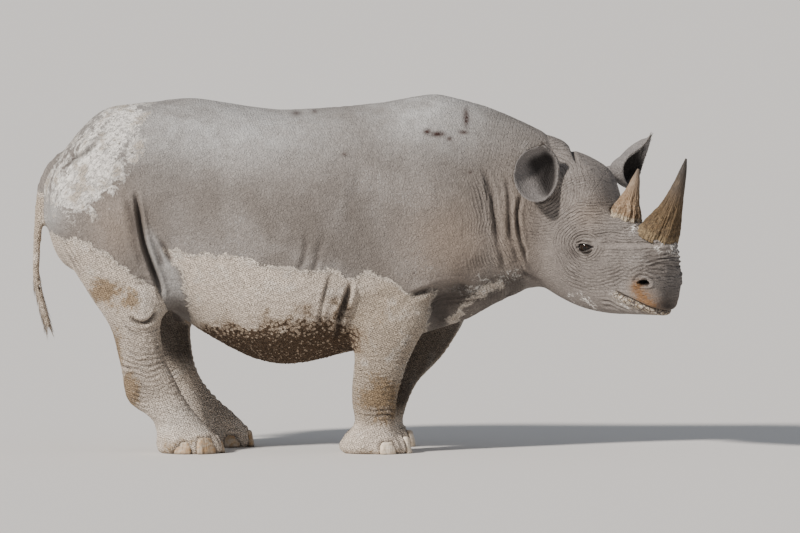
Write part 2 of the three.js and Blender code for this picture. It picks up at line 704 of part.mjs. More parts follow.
/** A horn, or the socket it sits in when grown. */
function horn({ foot, tip, bow, sunk, sides, sections }, grow = 0) {
  const [footPoint, tipPoint] = [headPoint(foot[0], foot[1], 0), headPoint(tip[0], tip[1], 0)];
  const forwards = headWay(tip[1] - foot[1], foot[0] - tip[0], 0);
  const across = headWay(0, 0, 1);
  const way = tipPoint.clone().sub(footPoint).normalize();
  const at = (t) => footPoint.clone().lerp(tipPoint, t).addScaledVector(forwards, 4 * bow * t * (1 - t));
  const [, baseAlong, baseAcross] = sections[0];
  const root = footPoint.clone().addScaledVector(way, -sunk - grow);
  const rings = [ring(root, forwards, across, baseAlong + grow, baseAcross + grow, sides)];
  for (const [t, along, acrossHalf] of sections) {
    rings.push(ring(at(t), forwards, across, along + grow, acrossHalf + grow, sides));
  }
  return outward(loft(rings));
}

/** The middle line of an ear and the directions across it. */
function earFrame({ line, opens }, t) {
  const [root, middle, tip] = line.map((p) => new THREE.Vector3(...p));
  const curve = new THREE.CatmullRomCurve3([root, middle, tip]);
  const centre = curve.getPoint(t);
  const way = curve.getTangent(t);
  const front = new THREE.Vector3(...opens);
  front.addScaledVector(way, -front.dot(way)).normalize();
  return { centre, front, across: way.clone().cross(front) };
}

/** The outside of an ear as a pod, from its stalk in the head to its tip. */
function earPod(ear, grow = 0) {
  const { centre, across, front } = earFrame(ear, 0);
  const way = front.clone().cross(across);
  const [, halfAcross, halfDeep] = EAR_SECTIONS[0];
  const stalk = centre.clone().addScaledVector(way, -EAR.stalk - grow);
  const rings = [ring(stalk, across, front, halfAcross + grow, halfDeep + grow, EAR.sides)];
  for (const [t, halfWidth, halfDepth] of EAR_SECTIONS) {
    const frame = earFrame(ear, t);
    rings.push(ring(frame.centre, frame.across, frame.front, halfWidth + grow, halfDepth + grow, EAR.sides));
  }
  return outward(loft(rings));
}

/** What is cut out of an ear's pod to open its cup: the pod less its wall, carried out through the front. */
function earCup(ear) {
  const rings = EAR_SECTIONS.filter(([, , , open]) => open > 0).map(([t, halfWidth, halfDepth, open]) => {
    const { centre, across, front } = earFrame(ear, t);
    const [wide, deep] = [halfWidth, halfDepth].map((half) => Math.max(half - EAR.wall, 1) * open);
    return ring(centre, across, front, wide, deep, EAR.sides).map((point, n) => {
      const lift = 2 * n < EAR.sides ? Math.sin((2 * Math.PI * n) / EAR.sides) * (halfDepth + 30 - deep) : 0;
      return point.addScaledVector(front, Math.max(lift, 0));
    });
  });
  return outward(loft(rings));
}

/** An eyeball, or its socket when grown, on the side that w points to. */
function eye(side, grow = 0) {
  const surface = meet(flesh, headPoint(EYE.u, EYE.v, 300 * side), headWay(0, 0, -side), 300);
  const centre = surface.addScaledVector(headWay(0, 0, -side), EYE.sunk);
  const geometry = new THREE.SphereGeometry(EYE.radius + grow, 12, 8);
  return outward(indexed(geometry.translate(centre.x, centre.y, centre.z)));
}

/** A nostril's hole on the side that w points to. */
function nostril(side) {
  const surface = meet(flesh, headPoint(NOSTRIL.u, NOSTRIL.v, 300 * side), headWay(0, 0, -side), 300);
  const tilt = THREE.MathUtils.degToRad(NOSTRIL.tilt);
  const geometry = new THREE.SphereGeometry(1, 10, 6);
  const basis = new THREE.Matrix4().makeBasis(
    headWay(Math.cos(tilt), -Math.sin(tilt), 0).multiplyScalar(NOSTRIL.half[0]),
    headWay(Math.sin(tilt), Math.cos(tilt), 0).multiplyScalar(NOSTRIL.half[1]),
    headWay(0.35, 0, side).multiplyScalar(NOSTRIL.half[2]));
  return outward(indexed(geometry.applyMatrix4(basis).translate(surface.x, surface.y, surface.z)));
}

/** The wedge that opens the mouth's slit round the muzzle. */
function mouthSlit() {
  const [u0, v0] = MOUTH.middle;
  const middle = headPoint(u0, v0, 0);
  const slope = THREE.MathUtils.degToRad(MOUTH.slope);
  const forwards = headWay(Math.cos(slope), Math.sin(slope), 0);
  const up = headWay(-Math.sin(slope), Math.cos(slope), 0);
  const rings = Array.from({ length: MOUTH.steps + 1 }, (_, n) => {
    const angle = THREE.MathUtils.degToRad(MOUTH.corner * ((2 * n) / MOUTH.steps - 1));
    const out = forwards.clone().multiplyScalar(Math.cos(angle));
    out.addScaledVector(headWay(0, 0, 1), Math.sin(angle));
    const start = middle.clone().addScaledVector(out, 420);
    const surface = meet(flesh, start, out.clone().negate(), 420);
    const inner = surface.clone().addScaledVector(out, -MOUTH.deep);
    const outer = surface.clone().addScaledVector(out, 12);
    const wide = MOUTH.wide * (1 - 0.6 * Math.abs((2 * n) / MOUTH.steps - 1) ** 4);
    return [
      inner.clone().addScaledVector(up, 1),
      outer.clone().addScaledVector(up, wide),
      outer.clone().addScaledVector(up, -wide),
      inner.clone().addScaledVector(up, -1),
    ];
  });
  return outward(loft(rings));
}

/** The tail, or the groove it leaves in the rump when grown. */
function tail(grow = 0) {
  const line = new THREE.CatmullRomCurve3(TAIL_STATIONS.map(([x, z]) => new THREE.Vector3(x, 0, z)));
  const across = new THREE.Vector3(0, 1, 0);
  const rings = TAIL_STATIONS.map(([, , deep, wide], n) => {
    const t = n / (TAIL_STATIONS.length - 1);
    const way = line.getTangent(t);
    const past = n === 0 ? -grow : grow * Number(n === TAIL_STATIONS.length - 1);
    const centre = line.getPoint(t).addScaledVector(way, past);
    return ring(centre, across, way.clone().cross(across), wide + grow, deep + grow, TAIL_SIDES);
  });
  return outward(loft(rings));
}

/** A nail of a foot, or its socket when grown. The foot is a leg's name, the nail one of NAILS. */
function nail(leg, name, grow = 0) {
  const side = SIDES[leg.split('_')[1]];
  const [turn, halfWidth, height] = NAILS[name];
  const angle = THREE.MathUtils.degToRad((turn + TOES[leg]) * -side);
  const [along, out] = legAt[leg.split('_')[0]](20);
  const middle = new THREE.Vector3(along + stanceAt[leg](20)[0], side * out, 0);
  const way = new THREE.Vector3(Math.cos(angle), Math.sin(angle), 0);
  const start = middle.clone().setZ(18).addScaledVector(way, 300);
  const face = meet(flesh, start, way.clone().negate(), 300).setZ(0);
  const across = new THREE.Vector3(-way.y, way.x, 0);
  const rings = [];
  for (const share of [-0.2, 0.5, 0.88]) {
    const shrink = (1 - Math.max(share, 0) ** NAIL.boxy) ** (1 / NAIL.boxy);
    const depth = (NAIL.proud + NAIL.deep) / 2;
    const back = Math.tan(THREE.MathUtils.degToRad(NAIL.lean)) * share * height;
    const centre = face.clone().addScaledVector(way, NAIL.proud - depth - back).setZ(share * height);
    const halfDepth = depth * (0.55 + 0.45 * shrink);
    rings.push(ring(centre, across, way, halfWidth * shrink + grow, halfDepth + grow, 8, 2.5));
  }
  return outward(loft(rings)).intersect(block(-3000, -3000, grow ? -50 : 0, 3000, 3000, 1000));
}

// ---------------------------------------------------------------- parting the flesh

/** The legs' cuts: from MIDLINE_CLEAR outwards on the leg's side, moved in by an amount. */
function legZone(leg, amount) {
  const [kind, side] = leg.split('_');
  const [inner, outer] = [MIDLINE_CLEAR + amount, 700];
  const [from, to] = SIDES[side] > 0 ? [inner, outer] : [-outer, -inner];
  return slab(inset(CUTS[kind], amount), from, to);
}

const LEGS = Object.keys(STANCE);
const floor = block(-3000, -3000, -200, 3000, 3000, 0);
const headOutline = [HEAD_CUT.top, [2200, 1400], [2200, 600], HEAD_CUT.bottom]
  .map(([x, z]) => [x - HEAD_PLACE.x, z - HEAD_PLACE.z]);

/** Everything ahead of the cut between neck and head, moved in by an amount. */
function headZone(amount) {
  const turn = new THREE.Matrix4().makeRotationZ(THREE.MathUtils.degToRad(-HEAD_CUT.turn));
  const place = new THREE.Matrix4().makeTranslation(HEAD_PLACE.x, HEAD_PLACE.y, HEAD_PLACE.z);
  return slab(inset(headOutline, amount), -900, 900).transform(place.multiply(turn).elements);
}

const pieces = new Map();

/** Adds a named piece with its finish. */
function add(name, solid, material) {
  pieces.set(name, { solid, material });
}

/** A box between two corners. */
function box(x0, y0, z0, x1, y1, z1) {
  return new THREE.Box3(new THREE.Vector3(x0, y0, z0), new THREE.Vector3(x1, y1, z1));
}

// trunk: everything but the neck, legs and tail
let trunk = fleshSolid(flesh, box(-1440, -500, 340, 700, 500, 1600), MESH.trunk);
for (const leg of LEGS) trunk = trunk.subtract(legZone(leg, 0));
trunk = trunk.subtract(slab(CUTS.neck, -700, 700));
trunk = trunk.subtract(tail(GAP));
add('trunk', trunk, HIDE);

let neck = fleshSolid(flesh, box(420, -460, 480, 1100, 420, 1600), MESH.neck);
neck = neck.intersect(slab(inset(CUTS.neck, GAP), -700, 700)).subtract(headZone(0));
for (const ear of Object.values(EARS)) neck = neck.subtract(earPod(ear, GAP));
add('neck', neck, HIDE);

let head = fleshSolid(flesh, box(600, -720, 520, 1460, 340, 1360), MESH.head).intersect(headZone(GAP));
for (const side of [1, -1]) head = head.subtract(eye(side, GAP)).subtract(nostril(side));
for (const ear of Object.values(EARS)) head = head.subtract(earPod(ear, GAP));
for (const size of Object.values(HORNS)) head = head.subtract(horn(size, GAP));
head = head.subtract(mouthSlit());
add('head', head, HIDE);

for (const [name, size] of Object.entries(HORNS)) add(name, horn(size), HORN);
for (const [name, ear] of Object.entries(EARS)) add(name, earPod(ear).subtract(earCup(ear)), HIDE);
add('eye_right', eye(1), EYE_WET);
add('eye_left', eye(-1), EYE_WET);

for (const leg of LEGS) {
  const [kind, side] = leg.split('_');
  const cut = FOOT_CUT[kind];
  const [near, far] = SIDES[side] > 0 ? [20, 520] : [-520, -20];
  const [back, front] = kind === 'foreleg' ? [-240, 580] : [-1440, -440];
  const legBox = box(back, near, cut - 40, front, far, kind === 'foreleg' ? 800 : 980);
  let shank = fleshSolid(flesh, legBox, MESH.leg).intersect(legZone(leg, GAP));
  shank = shank.subtract(block(-3000, -3000, -200, 3000, 3000, cut));
  add(leg, shank, HIDE);

  const [along, out] = legAt[kind](20);
  const x = along + stanceAt[leg](20)[0];
  const footBox = box(x - 240, SIDES[side] * out - 180, -30, x + 240, SIDES[side] * out + 180, cut + 30);
  let foot = fleshSolid(flesh, footBox, MESH.foot).subtract(floor);
  foot = foot.subtract(block(-3000, -3000, cut - GAP, 3000, 3000, 600));
  for (const name of Object.keys(NAILS)) foot = foot.subtract(nail(leg, name, GAP));
  const footName = leg.replace('leg', 'foot');
  add(footName, foot, MUD);
  for (const name of Object.keys(NAILS)) add(`nail_${footName}_${name}`, nail(leg, name), NAIL_HORN);
}

add('tail', tail(), HIDE);

// ---------------------------------------------------------------- the finished animal

const rhinoceros = new THREE.Group();
rhinoceros.name = 'black_rhinoceros';
for (const [name, { solid, material }] of pieces) {
  const { vertProperties, triVerts } = solid.getMesh();
  const cut = new THREE.BufferGeometry()
    .setAttribute('position', new THREE.Float32BufferAttribute(vertProperties, 3))
    .setIndex(Array.from(triVerts));
  const mesh = new THREE.Mesh(thin(indexed(cut), 0, SLIVER), material.clone());
  mesh.name = name;
  rhinoceros.add(mesh);
}

// The middle of the box it stands in, on the floor, is the origin.
const bounds = new THREE.Box3().setFromObject(rhinoceros);
const middle = bounds.getCenter(new THREE.Vector3());
for (const mesh of rhinoceros.children) mesh.geometry.translate(-middle.x, -middle.y, -bounds.min.z);

export default rhinoceros;
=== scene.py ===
"""A black rhinoceros standing still: skin, horns, eyes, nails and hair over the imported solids.

Metres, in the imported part's frame: +X towards the nose, +Y to the animal's left, +Z up.
"""

import logging
import math
from dataclasses import dataclass, fields
from enum import Enum

import bmesh
import bpy
import numpy as np
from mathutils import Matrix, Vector
from mathutils.kdtree import KDTree


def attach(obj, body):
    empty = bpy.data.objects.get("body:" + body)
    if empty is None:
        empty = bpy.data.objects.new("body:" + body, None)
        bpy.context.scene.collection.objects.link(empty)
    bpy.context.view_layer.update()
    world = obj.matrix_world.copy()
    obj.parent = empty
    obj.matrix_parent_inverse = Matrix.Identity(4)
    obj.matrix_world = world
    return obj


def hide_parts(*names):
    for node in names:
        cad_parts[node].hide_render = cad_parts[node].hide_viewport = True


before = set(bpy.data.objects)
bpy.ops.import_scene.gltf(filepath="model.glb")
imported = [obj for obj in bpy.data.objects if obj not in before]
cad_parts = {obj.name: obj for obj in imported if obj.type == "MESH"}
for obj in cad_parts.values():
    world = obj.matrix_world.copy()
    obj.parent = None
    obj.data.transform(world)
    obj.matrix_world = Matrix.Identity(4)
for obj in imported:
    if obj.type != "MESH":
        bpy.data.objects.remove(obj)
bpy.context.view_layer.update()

Array = np.ndarray
Mesh = bpy.types.Mesh
Piece = bpy.types.Object
Socket = bpy.types.NodeSocket
Material = bpy.types.Material
Pair = tuple[float, float]
Triple = tuple[float, float, float]
Spots = tuple[tuple[Triple, Triple, float], ...]

LOG = logging.getLogger("rhinoceros")
BAKE_MAP = "OFBake"


# ------------------------------------------------------------------ plain helpers


def soft_step(low: float, high: float, value: Array) -> Array:
    """Rises smoothly from 0 to 1 while a value goes from low to high."""
    share = np.clip((value - low) / (high - low), 0.0, 1.0)
    return share * share * (3.0 - 2.0 * share)


def bell(value: Array, width: float) -> Array:
    """A bump of height 1 round zero that is about as wide as given on each side."""
    return np.exp(-((value / width) ** 2))


def unit(vectors: Array) -> Array:
    """Scales each row to length 1."""
    return vectors / np.maximum(np.linalg.norm(vectors, axis=-1, keepdims=True), 1e-12)


def numbers(items: bpy.types.bpy_prop_collection, name: str, width: int, kind: type = np.float32) -> Array:
    """Reads one property of every item into an array.

    Args:
        items: The collection, such as a mesh's vertices.
        name: The property's name.
        width: How many numbers each item has there.
        kind: The numbers' type.

    Returns:
        One row for each item, or a flat array where the width is 1.
    """
    found = np.empty(len(items) * width, kind)
    items.foreach_get(name, found)
    return found.reshape(-1, width) if width > 1 else found


def points_of(mesh: Mesh) -> Array:
    """Where a mesh's vertices are, one row each."""
    return numbers(mesh.vertices, "co", 3).astype(np.float64)


def put_points(mesh: Mesh, points: Array) -> None:
    """Moves a mesh's vertices to new places."""
    mesh.vertices.foreach_set("co", points.astype(np.float32).ravel())
    mesh.update()


def normals_of(mesh: Mesh) -> Array:
    """The outward direction at each vertex of a mesh."""
    return numbers(mesh.vertex_normals, "vector", 3).astype(np.float64)


def put_attribute(mesh: Mesh, name: str, values: Array) -> None:
    """Stores one number for each vertex under a name."""
    layer = mesh.attributes.get(name) or mesh.attributes.new(name, "FLOAT", "POINT")
    layer.data.foreach_set("value", values.astype(np.float32))


def attribute_of(mesh: Mesh, name: str) -> Array:
    """Reads one number for each vertex stored under a name."""
    return numbers(mesh.attributes[name].data, "value", 1).astype(np.float64)


def mesh_from(name: str, points: Array, faces: list | Array) -> Mesh:
    """Makes a mesh from points and faces."""
    mesh = bpy.data.meshes.new(name)
    rows = faces.tolist() if isinstance(faces, Array) else faces
    mesh.from_pydata(np.asarray(points).tolist(), [], rows)
    mesh.update()
    return mesh


def settled(work: bmesh.types.BMesh, mesh: Mesh | str) -> Mesh:
    """Ends the work on a mesh and puts it into the mesh given, or into a new one of that name."""
    made = bpy.data.meshes.new(mesh) if isinstance(mesh, str) else mesh
    work.to_mesh(made)
    work.free()
    return made


def outward(mesh: Mesh) -> Mesh:
    """Turns a closed mesh's faces outwards."""
    work = bmesh.new()
    work.from_mesh(mesh)
    bmesh.ops.recalc_face_normals(work, faces=work.faces)
    return settled(work, mesh)


def tube(rings: int, sides: int) -> Array:
    """The quads between rings of points that follow each other, each closed on itself."""
    start = np.arange(rings - 1)[:, None] * sides
    here, beside = start + np.arange(sides), start + (np.arange(sides) + 1) % sides
    return np.stack([here, beside, beside + sides, here + sides], axis=-1).reshape(-1, 4)


def tree_of(places: Array) -> KDTree:
    """A tree that finds the nearest of some places."""
    tree = KDTree(len(places))
    for number, place in enumerate(places):
        tree.insert(place, number)
    tree.balance()
    return tree


def shown(name: str, mesh: Mesh) -> Piece:
    """Puts a mesh in the scene under a name, shaded smooth."""
    piece = bpy.data.objects.new(name, mesh)
    bpy.context.scene.collection.objects.link(piece)
    mesh.shade_smooth()
    return piece


def dressed(
    name: str, mesh: Mesh, finish: Material, stands_for: tuple[str, ...] = ()
) -> Piece:
    """Shows a finished mesh as a piece of the animal.

    Args:
        name: The piece's name.
        mesh: Its mesh.
        finish: Its material.
        stands_for: The solids it is shown in place of.

    Returns:
        The piece.
    """
    piece = shown(name, mesh)
    mesh.materials.append(finish)
    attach(piece, "root")
    if stands_for:
        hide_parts(*stands_for)
    LOG.info("%s has %d faces", name, len(mesh.polygons))
    return piece


def with_modifier(mesh: Mesh, kind: str, **settings: object) -> Mesh:
    """Runs one of Blender's modifiers on a mesh.

    Args:
        mesh: The mesh, which is used up.
        kind: The modifier's type.
        **settings: The modifier's own settings.

    Returns:
        The finished mesh.
    """
    holder = shown("holder", mesh)
    modifier = holder.modifiers.new("work", kind)
    for key, value in settings.items():
        setattr(modifier, key, value)
    graph = bpy.context.evaluated_depsgraph_get()
    made = bpy.data.meshes.new_from_object(holder.evaluated_get(graph))
    bpy.data.objects.remove(holder)
    bpy.data.meshes.remove(mesh)
    return made


def unwrapped(mesh: Mesh) -> Mesh:
    """Gives a mesh an unwrap of its own shape, on the map named by BAKE_MAP."""
    holder = shown("holder", mesh)
    mesh.uv_layers.new(name=BAKE_MAP)
    bpy.context.view_layer.objects.active = holder
    holder.select_set(True)
    bpy.ops.object.mode_set(mode="EDIT")
    bpy.ops.mesh.select_all(action="SELECT")
    bpy.ops.uv.smart_project(angle_limit=1.15, island_margin=0.002)
    bpy.ops.object.mode_set(mode="OBJECT")
    bpy.data.objects.remove(holder)
    return mesh


def spline(stations: Array, at: Array) -> Array:
    """A smooth curve through rows of numbers.

    Args:
        stations: One row for each point on the curve.
        at: Where to read it, from 0 at the first row to 1 at the last.

    Returns:
        One row for each place read.
    """
    rows = np.vstack([2 * stations[0] - stations[1], stations, 2 * stations[-1] - stations[-2]])
    place = np.clip(at, 0.0, 1.0) * (len(stations) - 1)
    start = np.minimum(place.astype(int), len(stations) - 2)
    t = (place - start)[:, None]
    a, b, c, d = (rows[start + n] for n in range(4))
    return 0.5 * (2 * b + (c - a) * t + (2 * a - 5 * b + 4 * c - d) * t**2 + (3 * b - a - 3 * c + d) * t**3)


@dataclass(frozen=True)
class Noise:
    """Smooth seeded noise in space, the same on every run."""

    seed: int

    def corner(self, cell: Array) -> Array:
        """A number from -1 to 1 for each cell of a grid, given as whole numbers."""
        mixed = cell[:, 0] * 73856093 ^ cell[:, 1] * 19349663 ^ cell[:, 2] * 83492791 ^ self.seed * 2654435761
        mixed = (mixed ^ (mixed >> 13)) * 1274126177 & 0x7FFFFFFF
        return ((mixed ^ (mixed >> 16)) & 0xFFFF) / 32767.5 - 1.0

    def __call__(self, points: Array, size: float, octaves: int = 1) -> Array:
        """Reads the noise.

        Args:
            points: Where, one row each.
            size: How far apart its bumps are, in metres.
            octaves: How many finer layers are added, each half as big and half as strong.

        Returns:
            A number for each point, mostly between -1 and 1.
        """
        total = np.zeros(len(points))
        for layer in range(octaves):
            place = points / size * 2.0**layer + 17.3 * layer + self.seed
            cell = np.floor(place).astype(np.int64)
            part = place - cell
            ease = part * part * part * (part * (part * 6.0 - 15.0) + 10.0)
            for corner in range(8):
                step = np.array([corner & 1, corner >> 1 & 1, corner >> 2])
                share = np.prod(np.where(step, ease, 1.0 - ease), axis=1)
                total += self.corner(cell + step) * share * 0.5**layer
        return total


# ------------------------------------------------------------------ the head's own directions


@dataclass(frozen=True)
class HeadAxes:
    """The head's own directions: u from the crest to the lips, v out of the brow, w to its right."""

    crest: Triple = (0.9325, -0.0519, 1.3)
    turn: float = 36.0
    droop: float = 39.0

    def rows(self) -> Array:
        """The directions u, v and w, one row each."""
        turn, droop = math.radians(self.turn), math.radians(self.droop)
        return np.array(
            [
                [math.cos(turn) * math.cos(droop), -math.sin(turn) * math.cos(droop), -math.sin(droop)],
                [math.cos(turn) * math.sin(droop), -math.sin(turn) * math.sin(droop), math.cos(droop)],
                [-math.sin(turn), -math.cos(turn), 0.0],
            ]
        )

    def into(self, points: Array) -> Array:
        """Body points as u, v, w."""
        return (points - np.array(self.crest)) @ self.rows().T

    def out_of(self, points: Array) -> Array:
        """Points given as u, v, w as body points."""
        return np.asarray(points, float) @ self.rows() + np.array(self.crest)


HEAD = HeadAxes()


# ------------------------------------------------------------------ the skin's grid


@dataclass(frozen=True)
class Lens:
    """A round region that is opened out while the skin's grid is laid, which makes the grid finer there."""

    centre: Triple
    radius: float
    gain: float

    def stretched(self, reach: Array) -> Array:
        """How far from the centre a point lands that was this far from it."""
        share = reach / self.radius
        return reach + (self.gain - 1.0) * self.radius * np.tanh(share) / (1.0 + (share / 5.0) ** 2)

    def moved(self, points: Array, centre: Array, back: bool) -> Array:
        """Opens the region out, or closes it again.

        Args:
            points: The points to move, one row each.
            centre: The region's centre, where any earlier lens has put it.
            back: True to close it again.

        Returns:
            The moved points.
        """
        way = points - centre
        reach = np.linalg.norm(way, axis=1)
        if back:
            table = np.linspace(0.0, 6.0, 12000)
            found = np.interp(reach, self.stretched(table), table)
        else:
            found = self.stretched(reach)
        return centre + way * (found / np.maximum(reach, 1e-9))[:, None]


@dataclass(frozen=True)
class Grid:
    """Lays one even net of small faces over solids, finer inside its lenses."""

    cell: float
    lenses: tuple[Lens, ...]

    def centres(self) -> list[Array]:
        """Each lens's centre, where the lenses before it have put it."""
        found: list[Array] = []
        for number, lens in enumerate(self.lenses):
            place = np.array([lens.centre])
            for earlier, centre in zip(self.lenses[:number], found):
                place = earlier.moved(place, centre, False)
            found.append(place[0])
        return found

    def lay(self, mesh: Mesh) -> Mesh:
        """Makes one closed net of quads round closed solids that may overlap.

        Args:
            mesh: The solids, as one mesh, which is used up.

        Returns:
            The net, as its biggest shell.
        """
        points = points_of(mesh)
        centres = self.centres()
        for lens, centre in zip(self.lenses, centres):
            points = lens.moved(points, centre, False)
        put_points(mesh, points)
        net = with_modifier(mesh, "REMESH", mode="VOXEL", voxel_size=self.cell, adaptivity=0.0)
        net = biggest_shell(net)
        points = points_of(net)
        for lens, centre in reversed(list(zip(self.lenses, centres))):
            points = lens.moved(points, centre, True)
        put_points(net, points)
        return net


def biggest_shell(mesh: Mesh) -> Mesh:
    """Keeps only the shell of a mesh that has the most vertices."""
    edges = numbers(mesh.edges, "vertices", 2, np.int32)
    label = np.arange(len(mesh.vertices))
    while True:
        lower = np.minimum(label[edges[:, 0]], label[edges[:, 1]])
        after = label.copy()
        np.minimum.at(after, edges[:, 0], lower)
        np.minimum.at(after, edges[:, 1], lower)
        after = after[after]
        if np.array_equal(after, label):
            break
        label = after
    kept = label == np.bincount(label).argmax()
    if kept.all():
        return mesh
    work = bmesh.new()
    work.from_mesh(mesh)
    work.verts.ensure_lookup_table()
    bmesh.ops.delete(work, geom=[work.verts[n] for n in np.flatnonzero(~kept)], context="VERTS")
    return settled(work, mesh)


@dataclass
class Net:
    """Which vertices of a mesh are neighbours, to even things out over its surface."""

    around: Array
    count: Array

    @staticmethod
    def of(mesh: Mesh) -> "Net":
        """Reads the neighbours from a mesh's edges."""
        edges = numbers(mesh.edges, "vertices", 2, np.int32)
        both = np.vstack([edges, edges[:, ::-1]])
        both = both[np.argsort(both[:, 0], kind="stable")]
        count = np.bincount(both[:, 0], minlength=len(mesh.vertices))
        start = np.concatenate([[0], np.cumsum(count)[:-1]])
        slot = np.arange(len(both)) - start[both[:, 0]]
        around = np.repeat(np.arange(len(mesh.vertices))[:, None], count.max(), axis=1)
        around[both[:, 0], slot] = both[:, 1]
        return Net(around, count)

    def bend(self, values: Array) -> Array:
        """How far each value is from its neighbours', as a sum over them, divided by 4."""
        total = values[self.around[:, 0]].copy()
        for column in range(1, self.around.shape[1]):
            total += values[self.around[:, column]]
        wide = self.around.shape[1]
        return (values * wide - total) / 4.0

    def spread(self, values: Array, times: int) -> Array:
        """Evens values out by averaging each with its neighbours, so many times."""
        count = self.count if values.ndim == 1 else self.count[:, None]
        for _ in range(times):
            values = values - self.bend(values) * 2.0 / count
        return values

    def faired(self, points: Array, hold: Array, times: int) -> Array:
        """The smoothest surface that stays near the given one.

        Args:
            points: The surface's vertices.
            hold: How strongly each vertex keeps its place.
            times: The most steps the search takes.

        Returns:
            The smoothed vertices.
        """
        keep = hold[:, None]

        def pull(values: Array) -> Array:
            """The search's matrix times some values."""
            return keep * values + self.bend(self.bend(values))

        found = points.copy()
        left = keep * points - pull(found)
        way = left.copy()
        size = (left * left).sum(axis=0)
        first = size.sum()
        for _ in range(times):
            pulled = pull(way)
            step = size / np.maximum((way * pulled).sum(axis=0), 1e-30)
            found += step * way
            left -= step * pulled
            after = (left * left).sum(axis=0)
            if after.sum() < first * 1e-8:
                break
            way = left + way * (after / np.maximum(size, 1e-30))
            size = after
        return found


# ------------------------------------------------------------------ the body's skin


class Region(Enum):
    """The parts of the body that the skin tells apart."""

    TRUNK = "trunk"
    NECK = "neck"
    HEAD = "head"
    EAR = "ear"
    TAIL = "tail"
    FORELEG = "foreleg"
    HINDLEG = "hindleg"
    FOOT = "foot"


SIDES = ("right", "left")
FLESH = {region.value: region for region in (Region.TRUNK, Region.NECK, Region.HEAD)}
FLESH |= {f"ear_{side}": Region.EAR for side in SIDES}
FLESH |= {"tail": Region.TAIL}
FLESH |= {f"{region.value}_{side}": region for region in (Region.FORELEG, Region.HINDLEG) for side in SIDES}
FLESH |= {f"{end}foot_{side}": Region.FOOT for end in ("fore", "hind") for side in SIDES}
FEET = tuple(name for name, region in FLESH.items() if region is Region.FOOT)
NAILS = tuple(f"nail_{foot}_{place}" for foot in FEET for place in ("middle", "inner", "outer"))
EYES = ("eye_right", "eye_left")


def node_mesh(name: str, grow: float = 0.0) -> Mesh:
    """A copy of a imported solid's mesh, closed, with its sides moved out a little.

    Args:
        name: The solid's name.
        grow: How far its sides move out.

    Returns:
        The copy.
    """
    work = bmesh.new()
    work.from_mesh(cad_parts[name].data)
    bmesh.ops.remove_doubles(work, verts=work.verts, dist=1e-6)
    bmesh.ops.recalc_face_normals(work, faces=work.faces)
    work.normal_update()
    for vertex in work.verts:
        vertex.co += vertex.normal * grow
    return settled(work, name)


def node_places(name: str, levels: int) -> Array:
    """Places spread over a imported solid, closer together the more often its faces are cut."""
    mesh = with_modifier(node_mesh(name), "SUBSURF", subdivision_type="SIMPLE", levels=levels)
    found = points_of(mesh)
    bpy.data.meshes.remove(mesh)
    return found


def joined(name: str, meshes: list[Mesh]) -> Mesh:
    """Makes one mesh of several, which are used up."""
    work = bmesh.new()
    for mesh in meshes:
        work.from_mesh(mesh)
        bpy.data.meshes.remove(mesh)
    return settled(work, name)


def scaled_about(mesh: Mesh, share: float) -> Mesh:
    """Scales a mesh about the middle of its box."""
    points = points_of(mesh)
    middle = (points.min(axis=0) + points.max(axis=0)) / 2
    put_points(mesh, middle + (points - middle) * share)
    return mesh


def pad(axes: Array, centre: Array, halves: Triple) -> Mesh:
    """A smooth lens-shaped body along three directions, which fills a socket."""
    work = bmesh.new()
    bmesh.ops.create_icosphere(work, subdivisions=3, radius=1.0)
    for vertex in work.verts:
        vertex.co = Vector(centre + (np.array(vertex.co) * halves) @ axes)
    return settled(work, "pad")


@dataclass(frozen=True)
class HornShape:
    """A horn on the head's midline, in u and v: its foot, its tip, and its half sizes along the way."""

    node: str
    foot: Pair
    tip: Pair
    bow: float
    sunk: float
    socket: Pair
    along: tuple[float, ...]
    across: tuple[float, ...]
    shares: tuple[float, ...]

    def axis(self) -> Array:
        """The horn's direction, as u, v."""
        way = np.array(self.tip) - np.array(self.foot)
        return way / np.linalg.norm(way)


FRONT_HORN = HornShape(
    node="horn_front",
    foot=(0.57, 0.016),
    tip=(0.474, 0.366),
    bow=0.014,
    sunk=0.022,
    socket=(0.1, 0.086),
    shares=(0.0, 0.1, 0.22, 0.36, 0.52, 0.68, 0.84, 1.0),
    along=(0.088, 0.082, 0.065, 0.049, 0.036, 0.026, 0.017, 0.004),
    across=(0.08, 0.074, 0.061, 0.048, 0.037, 0.026, 0.016, 0.004),
)
REAR_HORN = HornShape(
    node="horn_rear",
    foot=(0.388, -0.036),
    tip=(0.31, 0.168),
    bow=0.002,
    sunk=0.018,
    socket=(0.078, 0.068),
    shares=(0.0, 0.14, 0.3, 0.52, 0.76, 1.0),
    along=(0.07, 0.061, 0.044, 0.031, 0.02, 0.005),
    across=(0.064, 0.057, 0.043, 0.03, 0.02, 0.005),
)


